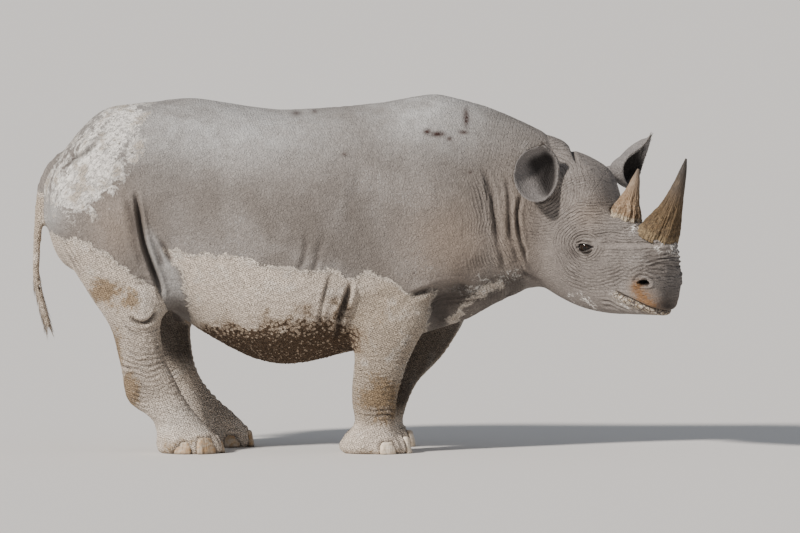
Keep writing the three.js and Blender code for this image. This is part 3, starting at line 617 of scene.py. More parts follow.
@dataclass(frozen=True)
class EarShape:
    """One ear: a thin cup with an oval rim drawn out to a point, held to the head by a stalk."""

    node: str
    middle: Triple
    up: Triple
    opens: Triple
    root: Triple
    lean: Pair
    wide: float = 0.094
    tall: float = 0.113
    deep: float = 0.088
    wall: float = 0.0095
    point: float = 0.02
    point_half: float = 0.13
    taper: float = 0.0
    sides: int = 96
    rows: int = 26

    def axes(self) -> Array:
        """The directions across the rim, up to the tip and out of the cup, one row each."""
        front = unit(np.array(self.opens))
        up = unit(np.array(self.up) - front * (np.array(self.up) @ front))
        return np.array([np.cross(up, front), up, front])

    def oval(self, turn: Array, grow: float = 0.0) -> Array:
        """The rim at angles from its tip, across it, up it and out of it."""
        narrow = 1.0 - 0.08 * soft_step(0.0, -1.0, np.cos(turn))
        reach = np.abs((turn + math.pi) % (2 * math.pi) - math.pi)
        spike = self.point * np.exp(-((reach / self.point_half) ** 1.3))
        side, rise = np.sin(turn), np.cos(turn)
        narrow = narrow * (1.0 - self.taper * np.maximum(rise, 0.0))
        across = (self.wide + grow) * np.sign(side) * np.abs(side) ** 0.92 * narrow
        upward = (self.tall + grow) * np.sign(rise) * np.abs(rise) ** 0.9 + spike
        return np.stack([across, upward, 0.014 * np.cos(2 * turn) - 0.01], axis=-1)

    def rim(self, turn: Array) -> tuple[Array, Array, Array]:
        """Points on the rim, the ways out of it there and the ways along it towards the tip."""
        flat = self.oval(turn, self.wall * 0.4)
        flat[:, 2] -= 0.004
        side = np.where(np.sin(turn) > 0, -1.0, 1.0)[:, None]
        along = unit(self.oval(turn + 0.01) - self.oval(turn - 0.01)) * side
        out = np.column_stack([flat[:, :2], np.zeros(len(turn))])
        return flat @ self.axes() + np.array(self.middle), unit(out) @ self.axes(), along @ self.axes()

    def shell(self, grow: float, share: Array) -> Array:
        """Rings of the cup from its rim to its bottom, moved out by some amount."""
        turn = np.linspace(0.0, 2 * math.pi, self.sides, endpoint=False)
        rim = self.oval(turn, grow)
        angle = share * math.pi / 2
        flat = rim[None] * np.cos(angle)[:, None, None]
        flat[..., 2] -= (self.deep + grow) * np.sin(angle)[:, None] ** 1.25
        flat[..., 0] += self.lean[0] * np.sin(angle)[:, None] ** 1.2
        flat[..., 1] += self.lean[1] * np.sin(angle)[:, None] ** 1.2
        return flat @ self.axes() + np.array(self.middle)

    def build(self) -> Mesh:
        """The ear as a closed mesh, open only as a real cup is."""
        share = np.linspace(0.0, 0.985, self.rows)
        rows = np.concatenate([self.shell(0.0, share[::-1]), self.shell(self.wall, share)])
        count, sides = len(rows), self.sides
        faces = tube(count, sides).tolist()
        faces += [list(range(sides)), list(range((count - 1) * sides, count * sides))]
        return outward(mesh_from(self.node, rows.reshape(-1, 3), faces))

    def stalk(self) -> Mesh:
        """The solid root that holds the ear to the head."""
        bottom = self.shell(self.wall, np.array([0.97]))[0].mean(axis=0)
        root = np.array(self.root)
        way = root - bottom
        length = float(np.linalg.norm(way))
        way = way / length
        beside = unit(np.cross(way, np.array([0.0, 0.0, 1.0])))
        axes = np.array([beside, np.cross(way, beside), way])
        middle = bottom + way * (length / 2 + 0.014) - self.axes()[2] * 0.008
        return pad(axes, middle, (0.032, 0.032, length / 2 + 0.02))

    def tip(self) -> Mesh:
        """The solid end of the ear's point."""
        axes = self.axes()
        middle = np.array(self.middle) + axes[1] * (self.tall + self.point * 0.42) - axes[2] * 0.004
        return pad(axes[[0, 2, 1]], middle, (0.013, 0.011, self.point * 0.62 + 0.01))

    def into(self, points: Array) -> Array:
        """Body points as shares of the rim's half sizes across and up, and metres out of the cup."""
        flat = (points - np.array(self.middle)) @ self.axes().T
        return flat / np.array([self.wide, self.tall, 1.0])


EARS = (
    EarShape("ear_right", (0.776, -0.286, 1.212), (0.22, -0.12, 0.95), (0.24, -0.95, 0.06),
             (0.842, -0.15, 1.15), (0.044, 0.012), deep=0.074, point=0.014),
    EarShape("ear_left", (1.218, 0.118, 1.216), (0.52, 0.02, 0.86), (0.9, -0.43, -0.3),
             (1.045, 0.078, 1.14), (0.0, -0.03), wide=0.099, deep=0.104, tall=0.082, point=0.068,
             point_half=0.36, taper=0.36),
)


@dataclass
class Cage:
    """The smooth net under the skin, with each region's share of each vertex."""

    grid: Grid = Grid(
        cell=0.0125,
        lenses=(
            Lens(centre=(1.06, -0.17, 1.03), radius=0.42, gain=2.2),
            Lens(centre=(0.989, -0.262, 0.899), radius=0.08, gain=1.7),
            Lens(centre=(1.149, -0.04, 0.899), radius=0.08, gain=1.7),
            Lens(centre=(1.262, -0.4, 0.76), radius=0.17, gain=1.45),
            Lens(centre=(0.786, -0.25, 1.21), radius=0.13, gain=1.75),
            Lens(centre=(1.2, 0.125, 1.25), radius=0.14, gain=1.75),
        ),
    )
    grow: float = 0.0008
    hold_body: float = 0.001
    hold_head: float = 0.012
    hold_ear: float = 0.05
    hold_tail: float = 0.3
    steps: int = 110

    def solids(self) -> Mesh:
        """The flesh, with the sockets of horns, eyes and nails filled, as one mesh."""
        meshes = [node_mesh(name, self.grow) for name, region in FLESH.items() if region is not Region.EAR]
        for ear in EARS:
            meshes += [ear.build(), ear.stalk()]
            if ear.point > 0.03:
                meshes.append(ear.tip())
        meshes += [scaled_about(node_mesh(name), 0.93) for name in NAILS]
        meshes += [node_mesh(name) for name in EYES]
        rows = HEAD.rows()
        for horn in (FRONT_HORN, REAR_HORN):
            way = horn.axis()
            up = way[0] * rows[0] + way[1] * rows[1]
            ahead = way[1] * rows[0] - way[0] * rows[1]
            foot = HEAD.out_of([horn.foot[0], horn.foot[1], 0.0]) - up * (horn.sunk * 0.55)
            halves = (horn.socket[0], horn.socket[1], horn.sunk * 0.85)
            meshes.append(pad(np.array([ahead, rows[2], up]), foot, halves))
        return joined("flesh", meshes)

    def regions(self, points: Array) -> dict[Region, Array]:
        """Each region's share at each point: 1 where its solid is the nearest."""
        starts: list[Array] = []
        kinds: list[Region] = []
        for name, region in FLESH.items():
            starts.append(node_places(name, 2))
            kinds += [region] * len(starts[-1])
        tree = tree_of(np.vstack(starts))
        nearest = np.array([tree.find(point)[1] for point in points])
        order = {region: number for number, region in enumerate(Region)}
        label = np.array([order[kind] for kind in kinds])[nearest]
        return {region: (label == number).astype(float) for region, number in order.items()}

    def build(self) -> Mesh:
        """Lays the net, smooths the solids' flat faces out of it and marks the regions."""
        flesh = self.solids()
        flesh = with_modifier(flesh, "SUBSURF", subdivision_type="SIMPLE", levels=1)
        grid = Grid(self.grid.cell * (1.0), self.grid.lenses)
        mesh = grid.lay(flesh)
        net = Net.of(mesh)
        points = points_of(mesh)
        shares = self.regions(points)
        for region in Region:
            shares[region] = net.spread(shares[region], 12)
        hold = np.full(len(points), self.hold_body)
        for region, value in (
            (Region.HEAD, self.hold_head),
            (Region.FOOT, self.hold_head),
            (Region.EAR, self.hold_ear),
            (Region.TAIL, self.hold_tail),
        ):
            hold += value * shares[region]
        points = net.faired(points, hold, self.steps)
        put_points(mesh, points)
        for region in Region:
            put_attribute(mesh, region.value, shares[region])
        LOG.info("the cage has %d vertices", len(points))
        return mesh


# ------------------------------------------------------------------ folds and creases


class View(Enum):
    """The flat view in which a fold's course is given."""

    SIDE = "x and z of the body"
    FACE = "u and v of the head"
    BROW = "u and w of the head"
    FRONT = "y and z of the body"


@dataclass
class Surface:
    """The skin's vertices in every view, with the ways they face."""

    points: Array
    normals: Array

    def __post_init__(self) -> None:
        """Works out the head's view of each vertex."""
        self.head = HEAD.into(self.points)
        self.head_normals = self.normals @ HEAD.rows().T

    def seen(self, view: View) -> tuple[Array, Array, Array]:
        """The vertices as seen in a view.

        Args:
            view: Which view.

        Returns:
            Two coordinates of each vertex, how squarely it faces the view, and the side it is on,
            1 on the animal's right.
        """
        if view is View.SIDE:
            return self.points[:, [0, 2]], np.abs(self.normals[:, 1]), -np.sign(self.points[:, 1])
        if view is View.FACE:
            return self.head[:, [0, 1]], np.abs(self.head_normals[:, 2]), np.sign(self.head[:, 2])
        if view is View.BROW:
            flat = np.stack([self.head[:, 0], np.abs(self.head[:, 2])], axis=1)
            return flat, np.maximum(self.head_normals[:, 1], 0.0), np.sign(self.head[:, 2])
        flat = np.stack([np.abs(self.points[:, 1]), self.points[:, 2]], axis=1)
        return flat, np.maximum(self.normals[:, 0], 0.0), -np.sign(self.points[:, 1])


def along_course(flat: Array, course: Array) -> tuple[Array, Array]:
    """Measures flat points against a line.

    Args:
        flat: The points, one row each.
        course: The line's corners, one row each.

    Returns:
        How far each point is from the line, negative on its right, and how far along it, from 0 to 1.
    """
    best = np.full(len(flat), np.inf)
    signed = np.zeros(len(flat))
    place = np.zeros(len(flat))
    length = np.concatenate([[0.0], np.cumsum(np.linalg.norm(np.diff(course, axis=0), axis=1))])
    for number in range(len(course) - 1):
        start, way = course[number], course[number + 1] - course[number]
        size = float(way @ way)
        offset = flat - start
        share = np.clip(offset @ way / size, 0.0, 1.0)
        miss = offset - share[:, None] * way
        reach = (miss * miss).sum(axis=1)
        closer = reach < best
        best[closer] = reach[closer]
        side = way[0] * offset[closer, 1] - way[1] * offset[closer, 0]
        signed[closer] = np.sqrt(reach[closer]) * np.where(side >= 0, 1.0, -1.0)
        place[closer] = (length[number] + share[closer] * math.sqrt(size)) / length[-1]
    return signed, place


@dataclass(frozen=True)
class Folds:
    """Creases side by side along one course. Sizes are in metres, and the course has two coordinates."""

    view: View
    course: tuple[Pair, ...]
    depth: float
    half: float
    count: int = 1
    gap: float = 0.02
    first: float = 0.0
    wander: float = 0.35
    fade: float = 0.22
    swell: float = 0.35
    sides: tuple[int, ...] = (1, -1)
    facing: float = 0.3

    def press(self, surface: Surface, wobble: Array, uneven: Array) -> tuple[Array, Array]:
        """How far these creases push each vertex in.

        Args:
            surface: The skin.
            wobble: A slow noise at each vertex, which bends the creases.
            uneven: Another, which makes them deeper here and fainter there.

        Returns:
            The height at each vertex, mostly negative, and how much it lies in a crease, from 0 to 1.
        """
        flat, facing, side = surface.seen(self.view)
        course = spline(np.array(self.course), np.linspace(0.0, 1.0, 8 * (len(self.course) - 1) + 1))
        last = self.first + self.gap * (self.count - 1)
        reach = max(abs(self.first), abs(last)) + 3.0 * self.half
        low, high = course.min(axis=0) - reach, course.max(axis=0) + reach
        inside = np.all((flat > low) & (flat < high), axis=1)
        near = np.flatnonzero(inside & (facing > self.facing * 0.5) & np.isin(side, self.sides))
        height, crease = np.zeros(len(flat)), np.zeros(len(flat))
        if not len(near):
            return height, crease
        signed, place = along_course(flat[near], course)
        signed = signed + wobble[near] * self.wander * self.gap
        number = np.clip(np.round((signed - self.first) / self.gap), 0, self.count - 1)
        miss = signed - self.first - number * self.gap
        amount = soft_step(0.0, self.fade, place) * soft_step(0.0, self.fade, 1.0 - place)
        amount *= soft_step(self.facing * 0.5, self.facing * 1.5, facing[near])
        if self.count > 2:
            middle = (self.count - 1) / 2.0
            amount *= 1.0 - 0.55 * np.abs((number - middle) / middle) ** 2
            jumps = np.sin(number * 12.9898 + place * 3.0) * 0.5 + 0.5
            amount *= 0.6 + 0.4 * jumps
        if self.wander:
            amount *= np.clip(0.75 + 0.75 * uneven[near], 0.15, 1.4)
        pressed = bell(miss, self.half)
        raised = bell(np.abs(miss) - 2.1 * self.half, self.half)
        height[near] = self.depth * amount * (self.swell * raised - pressed)
        crease[near] = pressed * amount
        return height, crease


# ------------------------------------------------------------------ materials


class Nodes:
    """Builds one material out of Blender's nodes, with a Principled shader at its end."""

    def __init__(self, name: str) -> None:
        """Starts an empty material.

        Args:
            name: The material's name.
        """
        self.material = bpy.data.materials.new(name)
        self.material.use_nodes = True
        self.tree = self.material.node_tree
        self.shader = self.tree.nodes["Principled BSDF"]
        self.place = self.add("ShaderNodeTexCoord").outputs["Object"]

    def add(self, kind: str, **settings: object) -> bpy.types.ShaderNode:
        """Adds a node and sets its own properties."""
        node = self.tree.nodes.new(kind)
        for key, value in settings.items():
            setattr(node, key, value)
        return node

    def feed(self, socket: Socket, value: object) -> None:
        """Gives an input a number, a colour or another node's output."""
        if isinstance(value, Socket):
            self.tree.links.new(value, socket)
        elif isinstance(value, tuple) and len(value) == 3 and socket.type == "RGBA":
            socket.default_value = (*value, 1.0)
        else:
            socket.default_value = value

    def read(self, name: str) -> Socket:
        """A number stored on the mesh's vertices."""
        return self.add("ShaderNodeAttribute", attribute_name=name).outputs["Fac"]

    def stretched(self, scale: Triple, turn: Triple = (0.0, 0.0, 0.0)) -> Socket:
        """The place on the object, turned and then scaled along each axis."""
        turned = self.add("ShaderNodeMapping", vector_type="POINT")
        self.feed(turned.inputs["Vector"], self.place)
        turned.inputs["Rotation"].default_value = turn
        made = self.add("ShaderNodeVectorMath", operation="MULTIPLY")
        self.feed(made.inputs[0], turned.outputs["Vector"])
        made.inputs[1].default_value = scale
        return made.outputs["Vector"]

    def noise(
        self, size: float, detail: float = 3.0, rough: float = 0.55, bent: float = 0.0,
        place: Socket | None = None,
    ) -> Socket:
        """Cloudy noise from 0 to 1.

        Args:
            size: How far apart its clouds are, in metres.
            detail: How many finer layers it has.
            rough: How strong the finer layers are.
            bent: How much it is distorted.
            place: Where it is read, if not at the place on the object.

        Returns:
            The noise's output.
        """
        node = self.add("ShaderNodeTexNoise")
        self.feed(node.inputs["Vector"], place or self.place)
        settings = {"Scale": 1.0 / size, "Detail": detail, "Roughness": rough, "Distortion": bent}
        for name, value in settings.items():
            node.inputs[name].default_value = value
        return node.outputs["Fac"]

    def cells(
        self, size: float, feature: str = "F1", place: Socket | None = None, even: float = 1.0
    ) -> Socket:
        """Distances in a pattern of cells.

        Args:
            size: How far apart the cells are, in metres.
            feature: Which distance it gives.
            place: Where it is read, if not at the place on the object.
            even: From 0, a regular pattern, to 1, a scattered one.

        Returns:
            The pattern's output.
        """
        node = self.add("ShaderNodeTexVoronoi", feature=feature)
        self.feed(node.inputs["Vector"], place or self.place)
        node.inputs["Scale"].default_value = 1.0 / size
        node.inputs["Randomness"].default_value = even
        return node.outputs["Distance"]

    def times(self, a: object, b: object, clamp: bool = False) -> Socket:
        """One number times another."""
        return self.math("MULTIPLY", a, b, clamp)

    def plus(self, a: object, b: object, clamp: bool = False) -> Socket:
        """The sum of two numbers."""
        return self.math("ADD", a, b, clamp)

    def math(self, operation: str, a: object, b: object = 0.0, clamp: bool = False) -> Socket:
        """One sum on two numbers."""
        node = self.add("ShaderNodeMath", operation=operation, use_clamp=clamp)
        self.feed(node.inputs[0], a)
        self.feed(node.inputs[1], b)
        return node.outputs[0]

    def ramp(self, value: Socket, low: float, high: float) -> Socket:
        """Rises smoothly from 0 to 1 while a value goes from low to high, or falls if low is above high."""
        ends = (high, low, 1.0, 0.0) if low > high else (low, high, 0.0, 1.0)
        return self.span(value, *ends, "SMOOTHSTEP")

    def span(
        self, value: object, start: float, end: float, low: float, high: float, way: str = "LINEAR"
    ) -> Socket:
        """Goes from one number to another while a value goes from its start to its end."""
        node = self.add("ShaderNodeMapRange", clamp=True, interpolation_type=way)
        self.feed(node.inputs["Value"], value)
        for name, number in (("From Min", start), ("From Max", end), ("To Min", low), ("To Max", high)):
            node.inputs[name].default_value = number
        return node.outputs["Result"]

    def mix(self, share: object, a: object, b: object, way: str = "MIX") -> Socket:
        """A colour between two others."""
        node = self.add("ShaderNodeMix", data_type="RGBA", blend_type=way)
        self.feed(node.inputs[0], share)
        self.feed(node.inputs[6], a)
        self.feed(node.inputs[7], b)
        return node.outputs[2]

    def tinted(self, colour: object, by: object) -> Socket:
        """A colour made darker or lighter by a number."""
        return self.mix(1.0, colour, by, "MULTIPLY")

    def finished(self, colour: object, rough: object, normal: Socket) -> Material:
        """Gives the surface its colour, roughness and relief, and returns the material."""
        for name, value in (("Base Color", colour), ("Roughness", rough), ("Normal", normal)):
            self.feed(self.shader.inputs[name], value)
        return self.material

    def bump(
        self, height: object, depth: float, below: Socket | None = None
    ) -> Socket:
        """A relief on the surface.

        Args:
            height: The relief's height, from 0 to 1.
            depth: How deep it is, in metres.
            below: The relief it lies on.

        Returns:
            The new surface direction.
        """
        node = self.add("ShaderNodeBump")
        node.inputs["Strength"].default_value = 1.0
        node.inputs["Distance"].default_value = depth
        self.feed(node.inputs["Height"], height)
        if below is not None:
            self.feed(node.inputs["Normal"], below)
        return node.outputs["Normal"]


@dataclass(frozen=True)
class HideFinish:
    """Dry grey-brown hide with dried mud, crust and stains, and painted shade in its creases, wrinkles,
    cracks and hollows.
    """

    taupe: Triple = (0.18, 0.155, 0.136)
    dusty: Triple = (0.265, 0.236, 0.214)
    pale: Triple = (0.48, 0.47, 0.458)
    brown: Triple = (0.3, 0.234, 0.185)
    face: Triple = (0.24, 0.21, 0.19)
    mud: Triple = (0.82, 0.695, 0.575)
    mud_pale: Triple = (0.9, 0.805, 0.7)
    leg_mud: Triple = (0.5, 0.395, 0.29)
    crust: Triple = (0.88, 0.835, 0.775)
    # Wet mud on the belly's lower sides, and painted shade on its down-facing underside.
    under: Triple = (0.11, 0.07, 0.042)
    peat: Triple = (0.33, 0.235, 0.15)
    ochre: Triple = (0.33, 0.225, 0.125)
    snout: Triple = (0.2, 0.104, 0.044)
    # Painted shade on the front of the muzzle's tip.
    soot: Triple = (0.055, 0.042, 0.035)
    lip: Triple = (0.25, 0.18, 0.105)
    # Dark nicks and lip cracks, and the painted shade in creases and wrinkles.
    dark: Triple = (0.06, 0.048, 0.042)
    # Painted shadow deep inside the ears' cups.
    inner_ear: Triple = (0.014, 0.011, 0.01)
    # Painted shade inside the nostrils and in the eyes' openings and corners.
    pit: Triple = (0.012, 0.009, 0.008)
    scab: Triple = (0.045, 0.022, 0.017)
    # Painted shade between the legs, in the armpit, brisket and throat, and on the muzzle and jaw.
    painted_shade: Triple = (0.04, 0.031, 0.026)
    ear: Triple = (0.235, 0.218, 0.212)
    chalk: Triple = (0.72, 0.69, 0.65)
    wrinkle_gap: float = 0.0135

    def patches(self, nodes: Nodes, clouds: Triple) -> dict[str, Socket]:
        """Where each kind of dirt lies, with ragged edges.

        Args:
            nodes: The material being made.
            clouds: Three noises, from wide to fine.

        Returns:
            Each patch's share by name.
        """
        wide, middle, fine = clouds
        coarse = nodes.span(middle, 0.0, 1.0, -0.045, 0.045)
        ragged = nodes.plus(coarse, nodes.span(fine, 0.0, 1.0, -0.02, 0.02))
        edge = nodes.plus(nodes.read("mud"), ragged)
        mud = nodes.ramp(edge, -0.004, 0.007)
        rim = nodes.times(nodes.ramp(edge, -0.004, 0.004), nodes.ramp(edge, 0.022, 0.006))
        crust = nodes.plus(nodes.read("crust"), nodes.span(middle, 0.2, 0.8, -0.12, 0.12))
        crust = nodes.ramp(nodes.plus(crust, nodes.span(fine, 0.2, 0.8, -0.045, 0.045)), -0.02, 0.045)
        slanting = nodes.stretched((38.0, 70.0, 84.0), (0.0, 0.75, 0.0))
        flakes = nodes.ramp(nodes.noise(1.0, 6.0, 0.66, 0.4, slanting), 0.34, 0.51)
        # The belly's dark patch: wet mud, and painted shade on the down-facing underside.
        belly = nodes.read("under")
        under = nodes.plus(belly, nodes.span(middle, 0.2, 0.8, -0.34, 0.34))
        drops = nodes.span(nodes.cells(0.0165), 0.12, 0.62, -0.7, 0.3)
        under = nodes.ramp(nodes.plus(under, drops), 0.51, 0.74)
        stain = nodes.plus(belly, nodes.span(middle, 0.38, 0.62, -0.34, 0.34))
        stain = nodes.times(nodes.ramp(stain, 0.04, 0.52), nodes.ramp(belly, 0.01, 0.16))
        return {
            "mud": mud,
            "stain": stain,
            "rim": rim,
            "crust": nodes.times(crust, nodes.span(wide, 0.35, 0.65, 0.75, 1.0)),
            "flakes": nodes.times(crust, flakes),
            "under": under,
        }

    def paint(
        self, nodes: Nodes, clouds: Triple, patch: dict[str, Socket], bent: Socket
    ) -> Socket:
        """The hide's colour, from the plain skin up to the dirt and painted shade on it."""
        wide, middle, fine = clouds
        read, times, plus = nodes.read, nodes.times, nodes.plus
        ramp, span, mix = nodes.ramp, nodes.span, nodes.mix
        scratch = nodes.math("ABSOLUTE", nodes.math("SUBTRACT", nodes.noise(0.085, 3.0, 0.5, 2.6), 0.5))
        line = times(ramp(scratch, 0.01, 0.0), ramp(wide, 0.5, 0.6))
        nick = times(ramp(nodes.cells(0.06), 0.085, 0.055), ramp(wide, 0.46, 0.58))
        foreleg = read(Region.FORELEG.value)
        legs = plus(foreleg, times(read(Region.TAIL.value), 0.9), clamp=True)
        mud = mix(times(legs, 0.72), self.mud, self.leg_mud)
        mud = mix(ramp(middle, 0.5, 0.72), mud, self.mud_pale)
        shank = plus(read(Region.HINDLEG.value), foreleg, clamp=True)
        mud = mix(times(times(shank, ramp(wide, 0.36, 0.56)), 0.16), mud, self.dusty)
        mud = mix(times(read("wash"), 0.75), mud, self.mud_pale)
        flakes = mix(times(ramp(middle, 0.5, 0.63), 0.7), self.crust, self.lip)
        ragged = plus(span(middle, 0.38, 0.62, -0.42, 0.42), span(fine, 0.35, 0.65, -0.3, 0.3))
        ragged = times(ragged, ramp(read("ochre"), 0.02, 0.3))
        ochre = ramp(plus(read("ochre"), ragged), 0.2, 1.05)
        fleck = ramp(nodes.noise(0.015, 5.0, 0.7, 0.9, place=bent), 0.5, 0.57)
        fleck = times(times(fleck, ramp(read("flecks"), 0.15, 0.75)), ramp(middle, 0.42, 0.54))
        plates = ramp(nodes.cells(0.024, "DISTANCE_TO_EDGE", bent), 0.03, 0.12)
        lips = mix(plates, self.dark, mix(span(fine, 0.4, 0.66, 0.0, 0.62), self.lip, self.crust))
        colour = mix(ramp(wide, 0.38, 0.66), self.taupe, self.dusty)
        for share, over in (
            (times(read("pale"), span(middle, 0.3, 0.62, 0.5, 1.0)), self.pale),
            (times(ramp(read(Region.HEAD.value), 0.35, 0.75), 0.7), self.face),
            (times(read("brown"), 0.8), self.brown),
            (times(read(Region.EAR.value), 0.75), self.ear),
            (times(line, 0.55), self.pale),
            (times(nick, 0.7), self.dark),
            (times(patch["mud"], 0.94), mud),
            (times(patch["rim"], 0.6), self.mud_pale),
            (times(patch["crust"], 0.84), self.chalk),
            (times(patch["flakes"], 0.85), flakes),
            (times(ochre, 0.88), self.ochre),
            (times(patch["stain"], 0.72), self.peat),
            # Wet mud on the belly's lower sides, and painted shade on its down-facing underside.
            (patch["under"], self.under),
            (fleck, self.crust),
            (times(read("snout"), span(fine, 0.34, 0.58, 0.45, 1.05), clamp=True), self.snout),
            # Painted shade on the front of the muzzle's tip.
            (times(read("soot"), span(middle, 0.3, 0.6, 0.6, 1.0)), self.soot),
            (times(read("lips"), 0.92), lips),
            (times(read("scab"), span(fine, 0.3, 0.6, 0.7, 1.4), clamp=True), self.scab),
            # Painted shade between the legs, in the armpit, brisket and throat, and on the muzzle and jaw.
            (times(read("shade"), 0.8), self.painted_shade),
        ):
            colour = mix(share, colour, over)
        return nodes.tinted(colour, span(fine, 0.28, 0.72, 0.8, 1.17))

    def wrinkles(self, nodes: Nodes) -> Socket:
        """Fine wrinkles that run along the skin's flow, broken here and there."""
        sway = nodes.span(nodes.noise(0.1, 3.0, 0.5), 0.2, 0.8, -0.013, 0.013)
        flow = nodes.plus(nodes.read("flow"), sway)
        broken = nodes.noise(0.05, 2.0, 0.5, 0.5)
        wide = nodes.math("FRACT", nodes.math("DIVIDE", flow, self.wrinkle_gap))
        line = nodes.times(nodes.ramp(wide, 0.3, 0.0), nodes.ramp(wide, -0.02, 0.06))
        close = nodes.math("FRACT", nodes.math("DIVIDE", flow, self.wrinkle_gap * 0.43))
        fine = nodes.times(nodes.ramp(close, 0.4, 0.0), nodes.ramp(close, -0.02, 0.1))
        line = nodes.times(line, nodes.ramp(broken, 0.32, 0.5))
        fine = nodes.times(fine, nodes.ramp(broken, 0.68, 0.5))
        both = nodes.math("MAXIMUM", line, nodes.times(fine, 0.6))
        return nodes.times(both, nodes.read("lined"))

    def build(self) -> Material:
        """Makes the material."""
        nodes = Nodes("hide_finish")
        wide, middle = nodes.noise(0.34, 4.0, 0.55, 0.3), nodes.noise(0.075, 5.0, 0.6, 0.3)
        clouds = (wide, middle, nodes.noise(0.013, 4.0, 0.62))
        patch = self.patches(nodes, clouds)
        bent = nodes.add("ShaderNodeVectorMath", operation="ADD")
        sway = nodes.add("ShaderNodeTexNoise")
        nodes.feed(sway.inputs["Vector"], nodes.place)
        sway.inputs["Scale"].default_value = 34.0
        moved = nodes.add("ShaderNodeVectorMath", operation="SCALE")
        nodes.feed(moved.inputs[0], sway.outputs["Color"])
        moved.inputs["Scale"].default_value = 0.01
        nodes.feed(bent.inputs[0], nodes.place)
        nodes.feed(bent.inputs[1], moved.outputs[0])
        colour = self.paint(nodes, clouds, patch, bent.outputs[0])
        cracked = nodes.ramp(nodes.cells(0.0125, "DISTANCE_TO_EDGE", bent.outputs[0]), 0.0, 0.22)
        fine_cracks = nodes.ramp(nodes.cells(0.0062, "DISTANCE_TO_EDGE", bent.outputs[0]), 0.0, 0.25)
        pebbles = nodes.stretched((100.0, 100.0, 128.0), (0.0, 0.42, 0.0))
        grain = nodes.ramp(nodes.cells(1.0, place=pebbles, even=0.45), 0.7, 0.26)
        # Painted shade in the hide's cracks and between the mud's pebbles, where the relief below is low.
        between = nodes.times(nodes.math("SUBTRACT", 1.0, grain), patch["mud"])
        colour = nodes.tinted(colour, nodes.span(between, 0.0, 1.0, 1.0, 0.6))
        colour = nodes.tinted(colour, nodes.span(cracked, 0.0, 1.0, 0.88, 1.02))
        colour = nodes.tinted(colour, nodes.span(fine_cracks, 0.0, 1.0, 0.92, 1.01))
        wrinkle = self.wrinkles(nodes)
        # Painted shade in the grooves of the fine wrinkles.
        colour = nodes.mix(nodes.times(wrinkle, 0.66), colour, self.dark)
        # Painted shade in the creases: the folds, the eyes' corners, the nostrils, the mouth's line, the
        # crest's groove and the grooves by the nails.
        crease = nodes.read("crease")
        colour = nodes.mix(nodes.span(crease, 0.12, 0.95, 0.0, 0.8), colour, self.dark)
        # Painted shadow deep inside the ears' cups.
        colour = nodes.mix(nodes.times(nodes.read("inner_ear"), 0.96), colour, self.inner_ear)
        # Painted shade in the nostrils and in the eyes' openings and corners; the same mark also makes them
        # wet and less rough.
        hollow = nodes.read("hollow")
        colour = nodes.mix(nodes.ramp(hollow, 0.15, 0.75), colour, self.pit)
        rough = nodes.span(middle, 0.3, 0.7, 0.66, 0.86)
        rough = nodes.math("MAXIMUM", rough, nodes.times(patch["mud"], 0.93))
        rough = nodes.math("SUBTRACT", rough, nodes.times(nodes.read("snout"), 0.18), clamp=True)
        rough = nodes.math("SUBTRACT", rough, nodes.times(hollow, 0.42), clamp=True)
        nodes.shader.inputs["Specular IOR Level"].default_value = 0.32
        head = nodes.ramp(nodes.read(Region.HEAD.value), 0.3, 0.8)
        relief = nodes.bump(nodes.times(cracked, nodes.span(head, 0.0, 1.0, 1.0, 0.55)), 0.0012)
        relief = nodes.bump(nodes.times(fine_cracks, nodes.span(head, 0.0, 1.0, 1.0, 0.6)), 0.0008, relief)
        relief = nodes.bump(nodes.math("SUBTRACT", 1.0, wrinkle), 0.0046, relief)
        relief = nodes.bump(nodes.noise(0.024, 5.0, 0.62), 0.0026, relief)
        relief = nodes.bump(nodes.times(grain, nodes.span(patch["mud"], 0.0, 1.0, 0.25, 1.0)), 0.0034, relief)
        relief = nodes.bump(nodes.times(patch["rim"], 1.0), 0.003, relief)
        relief = nodes.bump(nodes.times(patch["flakes"], 1.0), 0.003, relief)
        return nodes.finished(colour, rough, relief)


